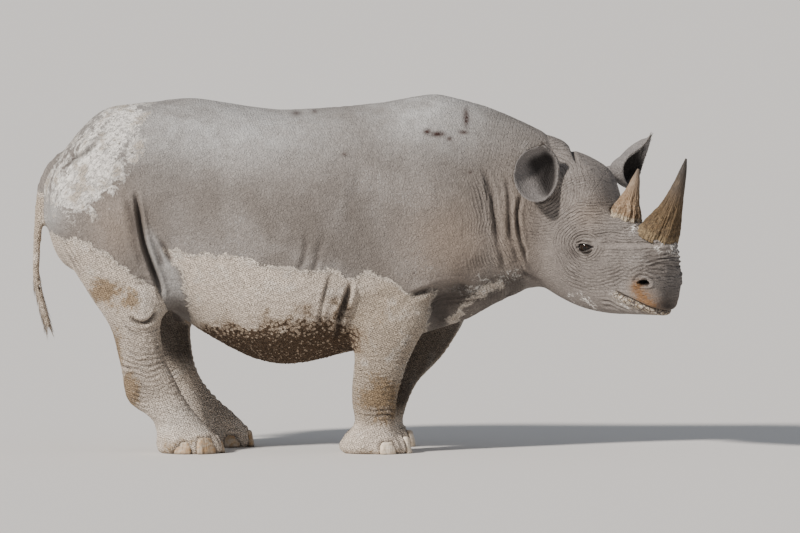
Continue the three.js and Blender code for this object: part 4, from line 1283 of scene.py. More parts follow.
@dataclass(frozen=True)
class HornFinish:
    """Fibrous brown horn, frayed and cream at its foot and dark towards its tip."""

    name: str
    fray: Triple
    low: Triple
    high: Triple
    tip: Triple
    smooth_from: float

    def build(self) -> Material:
        """Makes the material."""
        nodes = Nodes(self.name)
        rise = nodes.read("rise")
        round_place = nodes.add("ShaderNodeCombineXYZ")
        nodes.feed(round_place.inputs[0], nodes.read("round_x"))
        nodes.feed(round_place.inputs[1], nodes.read("round_y"))
        nodes.feed(round_place.inputs[2], nodes.times(rise, 0.9))
        fibres = nodes.noise(0.045, 4.0, 0.65, 0.4, place=round_place.outputs[0])
        coarse = nodes.noise(0.15, 3.0, 0.55, 0.8, place=round_place.outputs[0])
        cloud = nodes.noise(0.04, 4.0, 0.6, 0.5)
        ragged = nodes.plus(rise, nodes.span(fibres, 0.25, 0.75, -0.035, 0.035))
        colour = nodes.mix(nodes.ramp(ragged, 0.25, 0.7), self.low, self.high)
        colour = nodes.mix(nodes.ramp(ragged, self.smooth_from, 0.97), colour, self.tip)
        colour = nodes.mix(nodes.times(nodes.ramp(ragged, 0.085, 0.03), 0.8), colour, self.fray)
        streak = nodes.ramp(coarse, 0.52, 0.68)
        colour = nodes.mix(nodes.times(streak, 0.22), colour, self.fray)
        fleck = nodes.ramp(nodes.noise(0.011, 4.0, 0.7, 1.2), 0.5, 0.62)
        fleck = nodes.times(fleck, nodes.ramp(rise, 0.6, 0.2))
        colour = nodes.mix(nodes.times(fleck, 0.5), colour, self.fray)
        grains = nodes.ramp(nodes.noise(0.009, 3.0, 0.6, 0.4), 0.4, 0.54)
        grains = nodes.times(grains, nodes.ramp(rise, 0.6, 0.1))
        colour = nodes.tinted(colour, nodes.span(grains, 0.0, 1.0, 1.12, 0.62))
        colour = nodes.tinted(colour, nodes.span(fibres, 0.25, 0.75, 0.7, 1.2))
        colour = nodes.tinted(colour, nodes.span(cloud, 0.25, 0.75, 0.8, 1.18))
        worn = nodes.ramp(rise, 0.35, 0.95)
        rough = nodes.math("SUBTRACT", nodes.span(fibres, 0.3, 0.7, 0.86, 0.7), nodes.times(worn, 0.26))
        height = nodes.times(fibres, nodes.span(rise, 0.2, 0.9, 1.0, 0.3))
        relief = nodes.bump(height, 0.0046)
        return nodes.finished(colour, rough, nodes.bump(nodes.noise(0.012, 3.0), 0.0008, relief))


@dataclass(frozen=True)
class NailFinish:
    """Dull ochre nail with growth lines and dusty cracks."""

    name: str = "nail_finish"
    ochre: Triple = (0.38, 0.245, 0.13)
    cream: Triple = (0.48, 0.395, 0.3)
    dirt: Triple = (0.14, 0.105, 0.075)

    def build(self) -> Material:
        """Makes the material."""
        nodes = Nodes(self.name)
        cloud = nodes.noise(0.03, 4.0, 0.6, 0.5)
        streak = nodes.noise(0.006, 3.0, 0.6, 0.2, place=nodes.stretched((1.0, 1.0, 0.18)))
        growth = nodes.noise(0.0075, 2.0, 0.5, 0.3, place=nodes.stretched((0.15, 0.15, 1.0)))
        colour = nodes.mix(nodes.ramp(cloud, 0.36, 0.62), self.ochre, self.cream)
        colour = nodes.mix(nodes.times(nodes.ramp(streak, 0.54, 0.7), 0.55), colour, self.dirt)
        foot = nodes.add("ShaderNodeSeparateXYZ")
        nodes.feed(foot.inputs[0], nodes.place)
        # Darker towards the bottom, within 14 mm of the floor.
        low = nodes.ramp(foot.outputs[2], 0.014, 0.002)
        colour = nodes.mix(nodes.times(low, 0.7), colour, self.dirt)
        colour = nodes.tinted(colour, nodes.span(growth, 0.3, 0.7, 0.84, 1.12))
        rough = nodes.span(cloud, 0.3, 0.7, 0.48, 0.76)
        relief = nodes.bump(streak, 0.0012)
        return nodes.finished(colour, rough, nodes.bump(growth, 0.0014, relief))


@dataclass(frozen=True)
class EyeFinish:
    """A wet dark brown eye."""

    white: Triple = (0.035, 0.025, 0.02)
    iris: Triple = (0.03, 0.016, 0.009)
    ring: Triple = (0.012, 0.008, 0.006)
    pupil: Triple = (0.003, 0.003, 0.003)

    def build(self) -> Material:
        """Makes the material."""
        nodes = Nodes("eye_finish")
        reach, slit = nodes.read("reach"), nodes.read("slit")
        cloud = nodes.noise(0.0035, 4.0, 0.6, 0.6)
        iris = nodes.mix(nodes.ramp(cloud, 0.35, 0.65), self.ring, self.iris)
        colour = nodes.mix(nodes.ramp(reach, 0.5, 0.58), iris, self.ring)
        colour = nodes.mix(nodes.ramp(reach, 0.6, 0.85), colour, self.white)
        colour = nodes.mix(nodes.ramp(slit, 0.24, 0.19), colour, self.pupil)
        rough = nodes.span(reach, 0.5, 1.0, 0.05, 0.16)
        nodes.shader.inputs["IOR"].default_value = 1.376
        nodes.shader.inputs["Coat Weight"].default_value = 0.25
        nodes.shader.inputs["Specular IOR Level"].default_value = 0.3
        nodes.shader.inputs["Coat Roughness"].default_value = 0.03
        return nodes.finished(colour, rough, nodes.bump(nodes.noise(0.006, 2.0), 0.00008))


@dataclass(frozen=True)
class HairFinish:
    """Coarse dark hair, dusty where its root lies in mud."""

    name: str
    dark: Triple
    light: Triple
    dust: Triple = (0.3, 0.245, 0.195)

    def build(self) -> Material:
        """Makes the material."""
        nodes = Nodes(self.name)
        rise, tone = nodes.read("rise"), nodes.read("tone")
        colour = nodes.mix(nodes.ramp(tone, 0.3, 0.95), self.dark, self.light)
        dirt = nodes.times(nodes.read("mud"), nodes.ramp(rise, 0.85, 0.1))
        colour = nodes.mix(nodes.times(dirt, 0.65), colour, self.dust)
        colour = nodes.tinted(colour, nodes.span(nodes.noise(0.006, 3.0), 0.3, 0.7, 0.7, 1.3))
        rough = nodes.span(tone, 0.0, 1.0, 0.48, 0.68)
        return nodes.finished(colour, rough, nodes.bump(nodes.noise(0.0025, 2.0), 0.0003))


# ------------------------------------------------------------------ the skin with its folds


def arc(
    middle: Pair, halves: Pair, tilt: float, start: float, end: float, steps: int = 9
) -> tuple[Pair, ...]:
    """Points on part of an oval.

    Args:
        middle: The oval's middle.
        halves: Its half sizes along its tilt and across it.
        tilt: How far its long way is turned, in degrees.
        start: The first point's angle, in degrees from its long way.
        end: The last point's angle.
        steps: How many points.

    Returns:
        The points, in order.
    """
    angle = np.radians(np.linspace(start, end, steps))
    a, b = np.cos(angle) * halves[0], np.sin(angle) * halves[1]
    c, s = math.cos(math.radians(tilt)), math.sin(math.radians(tilt))
    return tuple(zip((middle[0] + a * c - b * s).tolist(), (middle[1] + a * s + b * c).tolist()))


EYE_AT = (0.383, -0.206)
NOSTRIL_AT = (0.703, -0.144)
SLANT = 41.0
EYE_OUT = 0.1344
EYE_RADIUS = 0.03
NOSTRIL_TILT = 38.0
CLEARANCE = 0.0004

BODY_FOLDS = (
    # flank: the deep fold between thigh and belly, and the skin drawn into it
    Folds(View.SIDE, ((-0.966, 1.17), (-0.95, 1.05), (-0.926, 0.92), (-0.893, 0.82), (-0.863, 0.74),
          (-0.845, 0.65)), 0.046, 0.0105, fade=0.28, swell=0.22, wander=0.0),
    Folds(View.SIDE, ((-0.93, 1.02), (-0.9, 0.94), (-0.86, 0.86), (-0.835, 0.8)), 0.007, 0.012, count=2,
          gap=0.035),
    Folds(View.SIDE, ((-1.005, 1.15), (-0.985, 1.04), (-0.958, 0.91), (-0.92, 0.8)), 0.006, 0.014, count=1),

    # knee
    Folds(View.SIDE, arc((-0.935, 0.665), (0.068, 0.095), 0.0, 205.0, 350.0), 0.015, 0.009, fade=0.3,
          wander=0.0),
    Folds(View.SIDE, arc((-0.93, 0.655), (0.072, 0.092), 0.0, 210.0, 330.0), 0.006, 0.006, count=3,
          gap=-0.018, first=-0.02),
    Folds(View.SIDE, arc((-0.93, 0.655), (0.078, 0.09), 0.0, 20.0, 120.0), 0.004, 0.008, count=2,
          gap=-0.02),
    # hind shank, in level rings
    Folds(View.SIDE, ((-1.0, 0.5), (-0.92, 0.475), (-0.82, 0.5)), 0.004, 0.0055, count=9, gap=-0.023,
          first=0.0, facing=0.1),
    Folds(View.SIDE, ((-0.99, 0.3), (-0.88, 0.275), (-0.76, 0.34)), 0.0042, 0.0055, count=8, gap=-0.019,
          first=0.04, facing=0.1),
    Folds(View.FRONT, ((0.1, 0.46), (0.23, 0.45), (0.34, 0.46)), 0.0024, 0.0055, count=14, gap=-0.024,
          first=0.04),
    # foreleg: rings above the foot and creases at the wrist and elbow
    Folds(View.SIDE, ((-0.02, 0.15), (0.08, 0.14), (0.19, 0.145)), 0.005, 0.006, count=4, gap=0.022,
          facing=0.1),
    Folds(View.SIDE, ((-0.02, 0.255), (0.08, 0.245), (0.19, 0.262)), 0.0032, 0.005, count=7, gap=0.019,
          facing=0.1),
    Folds(View.FRONT, ((0.12, 0.15), (0.24, 0.14), (0.36, 0.15)), 0.0022, 0.0055, count=10, gap=0.024),
    Folds(View.SIDE, ((-0.035, 0.76), (-0.047, 0.68), (-0.07, 0.62), (-0.086, 0.54), (-0.096, 0.47)), 0.022,
          0.011, fade=0.2, wander=0.1),
    Folds(View.SIDE, ((-0.095, 0.87), (-0.12, 0.78), (-0.145, 0.69), (-0.165, 0.6), (-0.171, 0.53)), 0.009,
          0.009, fade=0.25, wander=0.1),
    Folds(View.SIDE, ((-0.06, 0.9), (-0.11, 0.77), (-0.135, 0.62)), 0.005, 0.008, fade=0.35),
    Folds(View.SIDE, ((-0.145, 0.99), (-0.175, 0.87), (-0.222, 0.73)), 0.005, 0.012, count=2, gap=-0.055,
          fade=0.4),
    Folds(View.SIDE, ((0.02, 1.3), (-0.02, 1.12), (-0.05, 0.95)), 0.004, 0.022, fade=0.45),
    # shoulder's lower edge and the brisket
    Folds(View.SIDE, ((0.2, 0.68), (0.298, 0.706), (0.39, 0.728), (0.464, 0.722), (0.5, 0.68)), 0.012,
          0.014, fade=0.2, wander=0.1),
    Folds(View.SIDE, ((0.3, 0.66), (0.42, 0.68), (0.55, 0.71)), 0.007, 0.008, count=4, gap=-0.022),
    Folds(View.FRONT, ((0.0, 0.62), (0.08, 0.66), (0.18, 0.74)), 0.007, 0.01, count=4, gap=0.035),
    # rump: the ridge that runs down to the tail, and fine creases beside it
    Folds(View.SIDE, ((-1.06, 1.43), (-1.15, 1.34), (-1.25, 1.26), (-1.32, 1.19)), 0.005, 0.014, swell=0.9,
          fade=0.3),
    Folds(View.SIDE, ((-1.34, 0.98), (-1.28, 0.86), (-1.2, 0.72), (-1.12, 0.6)), 0.004, 0.008, count=5,
          gap=0.022),
    # neck: a few big folds, and fine ones between them
    Folds(View.SIDE, ((0.527, 1.27), (0.562, 1.18), (0.588, 1.08), (0.601, 0.95), (0.645, 0.76)), 0.013,
          0.012, fade=0.25, wander=0.1),
    Folds(View.SIDE, ((0.632, 1.24), (0.655, 1.11), (0.66, 0.95), (0.705, 0.79)), 0.01, 0.01, fade=0.25,
          wander=0.1),
    Folds(View.SIDE, ((0.716, 1.15), (0.69, 1.04), (0.708, 0.91), (0.765, 0.79)), 0.012, 0.009, fade=0.2,
          wander=0.1),
    Folds(View.SIDE, ((0.555, 1.25), (0.588, 1.15), (0.606, 1.05), (0.615, 0.95), (0.655, 0.8)), 0.004,
          0.0045, count=12, gap=-0.0135, first=-0.012, wander=0.7, fade=0.2),
    Folds(View.SIDE, ((0.5, 1.24), (0.53, 1.15), (0.548, 1.02), (0.555, 0.9)), 0.0026, 0.005, count=4,
          gap=0.024, wander=0.6, fade=0.35),
    # the roll of skin behind the ears
    Folds(View.SIDE, ((0.88, 1.37), (0.905, 1.335), (0.912, 1.3), (0.9, 1.26)), 0.01, 0.008, fade=0.3,
          facing=0.02),
    Folds(View.SIDE, ((0.73, 1.34), (0.76, 1.26), (0.765, 1.2)), 0.004, 0.006, count=3, gap=0.02,
          fade=0.35),
)

FACE_FOLDS = (
    # round the eye, closer together and deeper below it
    Folds(View.FACE, arc(EYE_AT, (0.044, 0.026), SLANT, 20.0, 165.0), 0.006, 0.0034, fade=0.25, wander=0.0),

    Folds(View.FACE, arc(EYE_AT, (0.043, 0.027), SLANT, 190.0, 352.0), 0.005, 0.0034, fade=0.25,
          wander=0.0),
    Folds(View.FACE, arc(EYE_AT, (0.054, 0.042), SLANT, 160.0, 385.0, 13), 0.0038, 0.0036, count=5,
          gap=-0.0118, wander=0.55, fade=0.16),
    Folds(View.FACE, arc(EYE_AT, (0.056, 0.04), SLANT, 12.0, 168.0), 0.0034, 0.0036, count=4, gap=-0.0125,
          wander=0.6, fade=0.2),
    Folds(View.FACE, arc(EYE_AT, (0.13, 0.12), SLANT, 175.0, 330.0, 13), 0.002, 0.004, count=4, gap=-0.016,
          wander=0.5, fade=0.3),
    # from below the eye forward to the nose
    Folds(View.FACE, ((0.345, -0.325), (0.43, -0.31), (0.51, -0.245), (0.585, -0.125), (0.655, 0.0),
          (0.74, 0.08)), 0.0042, 0.0042, count=7, gap=-0.0155, first=0.008, wander=0.45, fade=0.16),
    Folds(View.FACE, ((0.45, -0.36), (0.545, -0.285), (0.6, -0.19), (0.65, -0.075), (0.715, 0.012),
          (0.79, 0.07)), 0.0034, 0.0042, count=3, gap=-0.017, first=-0.006, wander=0.4, fade=0.2),
    Folds(View.FACE, ((0.455, -0.135), (0.5, -0.08), (0.535, -0.04), (0.575, -0.01)), 0.0024, 0.0036,
          count=6, gap=-0.0145, wander=0.6, fade=0.3),
    # across the nose, deep
    Folds(View.FACE, ((0.615, -0.075), (0.67, -0.005), (0.725, 0.045), (0.79, 0.08)), 0.006, 0.0052,
          count=4, gap=-0.0215, first=0.018, wander=0.3, fade=0.14, facing=0.3),
    Folds(View.FACE, ((0.735, -0.065), (0.77, -0.035), (0.81, -0.01), (0.85, 0.01)), 0.005, 0.005, count=3,
          gap=0.02, first=-0.02, wander=0.3, fade=0.2, facing=0.3),
    # over the nostril, and round it
    Folds(View.FACE, arc(NOSTRIL_AT, (0.058, 0.042), NOSTRIL_TILT, 5.0, 190.0, 11), 0.0055, 0.0046, fade=0.2,
          wander=0.0),
    Folds(View.FACE, arc(NOSTRIL_AT, (0.078, 0.06), NOSTRIL_TILT, -10.0, 175.0, 11), 0.005, 0.0046, count=2,
          gap=-0.016, fade=0.2, wander=0.2),
    # lips and chin
    Folds(View.FACE, ((0.6, -0.225), (0.635, -0.205), (0.66, -0.165)), 0.005, 0.005, count=3, gap=0.016,
          fade=0.3),
    Folds(View.FACE, ((0.545, -0.345), (0.6, -0.315), (0.655, -0.292), (0.72, -0.272)), 0.0042, 0.0046,
          count=3, gap=-0.018, first=-0.002, wander=0.5, fade=0.2),
    Folds(View.FACE, ((0.5, -0.27), (0.545, -0.262), (0.585, -0.262), (0.61, -0.27)), 0.0045, 0.005,
          count=4, gap=-0.019, first=0.01, wander=0.5, fade=0.3),
    # forehead and temple
    Folds(View.FACE, ((0.135, -0.19), (0.118, -0.11), (0.142, -0.02), (0.19, 0.05), (0.25, 0.1)), 0.0026,
          0.0034, count=9, gap=-0.0115, first=0.012, wander=0.6, fade=0.18, facing=0.15),
    Folds(View.FACE, ((0.21, -0.26), (0.215, -0.17), (0.25, -0.09), (0.3, -0.04)), 0.0022, 0.0034, count=7,
          gap=-0.0125, first=0.03, wander=0.6, fade=0.25),
    Folds(View.FACE, ((0.045, -0.165), (0.075, -0.185), (0.11, -0.165), (0.125, -0.12)), 0.0028, 0.0045,
          count=2, gap=-0.013, wander=0.4, fade=0.2),
    # cheek's rear edge, and the jaw
    Folds(View.FACE, ((0.12, -0.36), (0.16, -0.42), (0.235, -0.475), (0.32, -0.5)), 0.008, 0.008, fade=0.25,
          wander=0.1),
    Folds(View.FACE, ((0.1, -0.33), (0.115, -0.41), (0.19, -0.5)), 0.005, 0.0055, count=4, gap=-0.016,
          fade=0.3),
    # seen from above: frown lines between and before the horns
    Folds(View.BROW, ((0.465, 0.0), (0.468, 0.05), (0.455, 0.1)), 0.004, 0.0045, count=1, gap=0.016,
          fade=0.12),
    Folds(View.BROW, ((0.7, 0.0), (0.69, 0.05), (0.66, 0.1)), 0.0045, 0.0055, count=3, gap=-0.021,
          fade=0.1),
)


class Pattern(Enum):
    """Kinds of pattern that can be read at each vertex."""

    CLOUDS = "ShaderNodeTexNoise"
    CELLS = "ShaderNodeTexVoronoi"


@dataclass(frozen=True)
class Texture:
    """A pattern to read at each vertex: its kind, its size in metres and its stretch along each axis."""

    kind: Pattern
    size: float
    stretch: Triple = (1.0, 1.0, 1.0)


def with_textures(mesh: Mesh, textures: dict[str, Texture]) -> Mesh:
    """Stores patterns on a mesh's vertices.

    Args:
        mesh: The mesh, which is used up.
        textures: Each pattern by the name it is stored under.

    Returns:
        The mesh with the patterns.
    """
    tree = bpy.data.node_groups.new("textures", "GeometryNodeTree")
    tree.interface.new_socket("Geometry", in_out="INPUT", socket_type="NodeSocketGeometry")
    tree.interface.new_socket("Geometry", in_out="OUTPUT", socket_type="NodeSocketGeometry")
    flow = tree.nodes.new("NodeGroupInput").outputs[0]
    place = tree.nodes.new("GeometryNodeInputPosition").outputs[0]
    for name, texture in textures.items():
        scale = tree.nodes.new("ShaderNodeVectorMath")
        scale.operation = "MULTIPLY"
        tree.links.new(place, scale.inputs[0])
        scale.inputs[1].default_value = tuple(share / texture.size for share in texture.stretch)
        pattern = tree.nodes.new(texture.kind.value)
        tree.links.new(scale.outputs[0], pattern.inputs["Vector"])
        pattern.inputs["Scale"].default_value = 1.0
        store = tree.nodes.new("GeometryNodeStoreNamedAttribute")
        store.inputs["Name"].default_value = name
        tree.links.new(flow, store.inputs["Geometry"])
        given = "Fac" if texture.kind is Pattern.CLOUDS else "Distance"
        tree.links.new(pattern.outputs[given], store.inputs["Value"])
        flow = store.outputs[0]
    end = tree.nodes.new("NodeGroupOutput")
    tree.links.new(flow, end.inputs[0])
    made = with_modifier(mesh, "NODES", node_group=tree)
    bpy.data.node_groups.remove(tree)
    return made


@dataclass
class Relief:
    """What the skin's features add at each vertex: height, and how much of each kind of place it is."""

    height: Array
    crease: Array
    dark: Array
    wet: Array
    lids: Array
    lips: Array

    @staticmethod
    def flat(count: int) -> "Relief":
        """No relief anywhere."""
        return Relief(*(np.zeros(count) for _ in range(6)))

    def darken(self, amount: Array) -> None:
        """Marks places as creases, which the finish darkens with painted shade."""
        self.crease = np.maximum(self.crease, amount)


@dataclass
class Skin:
    """The one skin over all the flesh, with its folds, lids, nostrils, mouth and mud."""

    cage: Cage
    finish: HideFinish = HideFinish()
    eye_half: Pair = (0.029, 0.0145)
    eye_deep: float = 0.02
    lid: float = 0.0042
    nostril_half: Pair = (0.034, 0.0155)
    nostril_deep: float = 0.034
    mouth_through: Pair = (0.64, -0.258)
    mouth_slope: float = 16.0
    mouth_from: float = 0.597
    face_limit: float = 0.01
    face_gain: float = 1.5

    def local(self, surface: Surface, middle: Pair, tilt: float) -> Pair:
        """The vertices measured along and across a tilted feature of the face."""
        c, s = math.cos(math.radians(tilt)), math.sin(math.radians(tilt))
        u, v = surface.head[:, 0] - middle[0], surface.head[:, 1] - middle[1]
        return u * c + v * s, v * c - u * s

    def lids_on(self, surface: Surface, relief: Relief) -> None:
        """Wraps the skin round the eyeballs and opens the lids."""
        a, b = self.local(surface, EYE_AT, SLANT)
        head = surface.head
        side = np.sign(head[:, 2])
        out = np.abs(head[:, 2])
        near = (np.hypot(a, b) < 0.07) & (out > 0.08)
        reach = np.hypot(a, b)
        ball = EYE_RADIUS + self.lid
        dome = EYE_OUT + np.sqrt(np.maximum(ball**2 - reach**2, 0.0))
        cover = near * (1.0 - soft_step(0.024, 0.037, reach))
        out = out + cover * np.maximum(dome - out, -0.004)
        half = self.eye_half
        tall = np.where(b > 0, half[1] * 0.88, half[1] * 1.12)
        inside = 1.0 - (np.abs(a) / half[0]) ** 2.2 - (np.abs(b) / tall) ** 1.7
        opened = near * soft_step(-0.06, 0.22, inside)
        rim = near * bell(inside + 0.3, 0.28)
        brow = near * bell(b - 0.0215, 0.0075) * (1.0 - soft_step(0.02, 0.04, np.abs(a)))
        out = out - self.eye_deep * opened + 0.0022 * rim + 0.0042 * brow
        head[:, 2] = np.where(near, side * out, head[:, 2])
        surface.points[near] = HEAD.out_of(head[near])
        corner = near * bell(b + 0.002, 0.005) * soft_step(half[0] * 0.82, half[0] * 0.98, np.abs(a))
        corner *= 1.0 - soft_step(half[0] * 1.25, half[0] * 1.65, np.abs(a))
        relief.height -= 0.006 * corner
        # The eye's corners and opening get painted shade through the crease and hollow marks, and a wet
        # gloss.
        relief.darken(np.maximum(corner, opened))
        relief.wet = np.maximum(np.maximum(opened, near * bell(inside + 0.1, 0.28)), 0.8 * corner)
        relief.lids = near * (1.0 - soft_step(0.036, 0.052, reach))

    def nostrils_on(self, surface: Surface, relief: Relief) -> None:
        """Opens the nostrils."""
        a, b = self.local(surface, NOSTRIL_AT, NOSTRIL_TILT)
        half = self.nostril_half
        b = b - 0.15 * half[1] * np.cos(a / half[0] * 2.0)
        inside = 1.0 - (a / half[0]) ** 2 - (b / half[1]) ** 2
        cheek = soft_step(0.055, 0.085, np.abs(surface.head[:, 2]))
        opened = cheek * soft_step(0.0, 0.75, inside)
        way = np.array([-0.35, 0.1, 0.0])[None, :] * np.ones((len(a), 1))
        way[:, 2] = -np.sign(surface.head[:, 2])
        surface.points += (way @ HEAD.rows()) * (self.nostril_deep * opened)[:, None]
        relief.height += 0.0045 * cheek * bell(inside + 0.55, 0.45)
        # The opened nostril gets painted shade through the crease and hollow marks.
        relief.darken(opened)
        relief.dark = opened

    def mouth_on(self, surface: Surface, relief: Relief, wobble: Array) -> None:
        """Presses in the line between the lips and rounds the lips."""
        slope = math.radians(self.mouth_slope)
        u, v = surface.head[:, 0] - self.mouth_through[0], surface.head[:, 1] - self.mouth_through[1]
        across = v * math.cos(slope) - u * math.sin(slope) + 0.0015 * wobble
        start = self.mouth_from - self.mouth_through[0]
        amount = soft_step(start, start + 0.03, u) * (np.abs(across) < 0.08)
        line, upper = -0.016 * bell(across, 0.005), 0.0045 * bell(across - 0.016, 0.011)
        relief.height += amount * (line + upper + 0.006 * bell(across + 0.018, 0.012))
        relief.darken(amount * bell(across, 0.0058))
        relief.lips = amount * soft_step(-0.062, -0.012, across) * (1.0 - soft_step(0.0, 0.012, across))

    def crest_on(self, surface: Surface, relief: Relief) -> None:
        """Raises the roll of skin on the neck just behind the ears."""
        middle = HEAD.out_of([0.0, 0.0, 0.0])
        ahead = (surface.points[:, 0] - middle[0]) + 0.35 * (surface.points[:, 2] - 1.3)
        across = np.abs(surface.points[:, 1] - middle[1])
        amount = soft_step(1.2, 1.27, surface.points[:, 2]) * soft_step(0.135, 0.06, across)
        roll, groove = 0.006 * bell(ahead + 0.028, 0.022), 0.013 * bell(ahead - 0.002, 0.0085)
        relief.height += amount * (roll - groove - 0.005 * bell(ahead + 0.085, 0.012))
        relief.darken(amount * 0.8 * bell(ahead - 0.002, 0.008))

    def cuticles_on(self, surface: Surface, relief: Relief, feet: Array) -> None:
        """Raises the skin's edge round each nail, with a groove beside the nail."""
        tree = tree_of(np.vstack([node_places(name, 3) for name in NAILS]))
        near = np.flatnonzero((feet > 0.2) & (surface.points[:, 2] < 0.13))
        reach = np.array([tree.find(point)[2] for point in surface.points[near]])
        relief.height[near] += 0.005 * bell(reach - 0.014, 0.008) - 0.003 * bell(reach, 0.006)
        relief.crease[near] = np.maximum(relief.crease[near], 0.8 * bell(reach, 0.0065))

    def build(self) -> Piece:
        """Makes the skin with all its relief and the numbers its finish reads."""
        mesh = with_modifier(unwrapped(self.cage.build()), "SUBSURF", levels=1)
        mesh = with_textures(
            mesh,
            {
                "t_pebble": Texture(Pattern.CELLS, 0.015),
                "t_grain": Texture(Pattern.CELLS, 0.0105),
                "t_lump": Texture(Pattern.CLOUDS, 0.075),
                "t_long": Texture(Pattern.CLOUDS, 0.03, (1.0, 1.0, 2.6)),
            },
        )
        surface = Surface(points_of(mesh), normals_of(mesh))
        relief = Relief.flat(len(surface.points))
        wobble = Noise(3)(surface.points, 0.06)
        uneven = Noise(7)(surface.points, 0.09)
        shares = {region: attribute_of(mesh, region.value) for region in Region}
        face = soft_step(0.25, 0.65, shares[Region.HEAD])
        ear = shares[Region.EAR]
        body = 1.0 - soft_step(0.55, 0.95, shares[Region.HEAD] + ear)
        for folds, amount, limit, gain in (
            (BODY_FOLDS, body, 0.052, 1.2), (FACE_FOLDS, face, self.face_limit, self.face_gain)
        ):
            pressed = np.zeros(len(surface.points))
            for fold in folds:
                height, crease = fold.press(surface, wobble, uneven)
                pressed += height
                # Each crease is marked for painted shade, the deeper folds darker, up to a depth of 6 mm.
                relief.darken(crease * amount * min(1.0, fold.depth / 0.006))
            relief.height += limit * np.tanh(pressed * gain / limit) * amount
        self.lids_on(surface, relief)
        self.nostrils_on(surface, relief)
        self.mouth_on(surface, relief, wobble)
        self.crest_on(surface, relief)
        self.cuticles_on(surface, relief, shares[Region.FOOT])
        marks = Marks.of(surface, shares)
        calm = 1.0 - np.clip(relief.lids + relief.dark, 0.0, 1.0)
        rough = (0.35 + 0.65 * marks.mud_share) * (1.0 - 0.75 * face) * (1.0 - 0.9 * ear)
        pebble = 0.45 - attribute_of(mesh, "t_pebble")
        grain = 0.45 - attribute_of(mesh, "t_grain")
        lump = attribute_of(mesh, "t_lump") - 0.5
        long = attribute_of(mesh, "t_long") - 0.5
        relief.height += calm * (
            rough * (0.0016 * pebble * marks.mud_share + 0.0012 * grain)
            + 0.005 * lump * (0.3 + 0.7 * (1.0 - face)) * (1.0 - 0.8 * ear)
            + 0.0035 * long * (1.0 - face) * (1.0 - ear)
            + 0.0042 * marks.under * (pebble + grain)
            + 0.016 * marks.knee - 0.03 * marks.pit
        )
        for name in ("t_pebble", "t_grain", "t_lump", "t_long"):
            mesh.attributes.remove(mesh.attributes[name])
        surface.points += surface.normals * relief.height[:, None]
        surface.points[:, 2] = np.maximum(surface.points[:, 2], CLEARANCE)
        put_points(mesh, surface.points)
        put_attribute(mesh, "crease", np.clip(relief.crease, 0.0, 1.0))
        # The hollow mark: painted shade in the nostrils and eye openings, which are also wet.
        put_attribute(mesh, "hollow", np.clip(np.maximum(relief.dark, relief.wet), 0.0, 1.0))
        put_attribute(mesh, "lips", relief.lips)
        marks.store(mesh)
        return dressed("skin", mesh, self.finish.build(), tuple(FLESH))


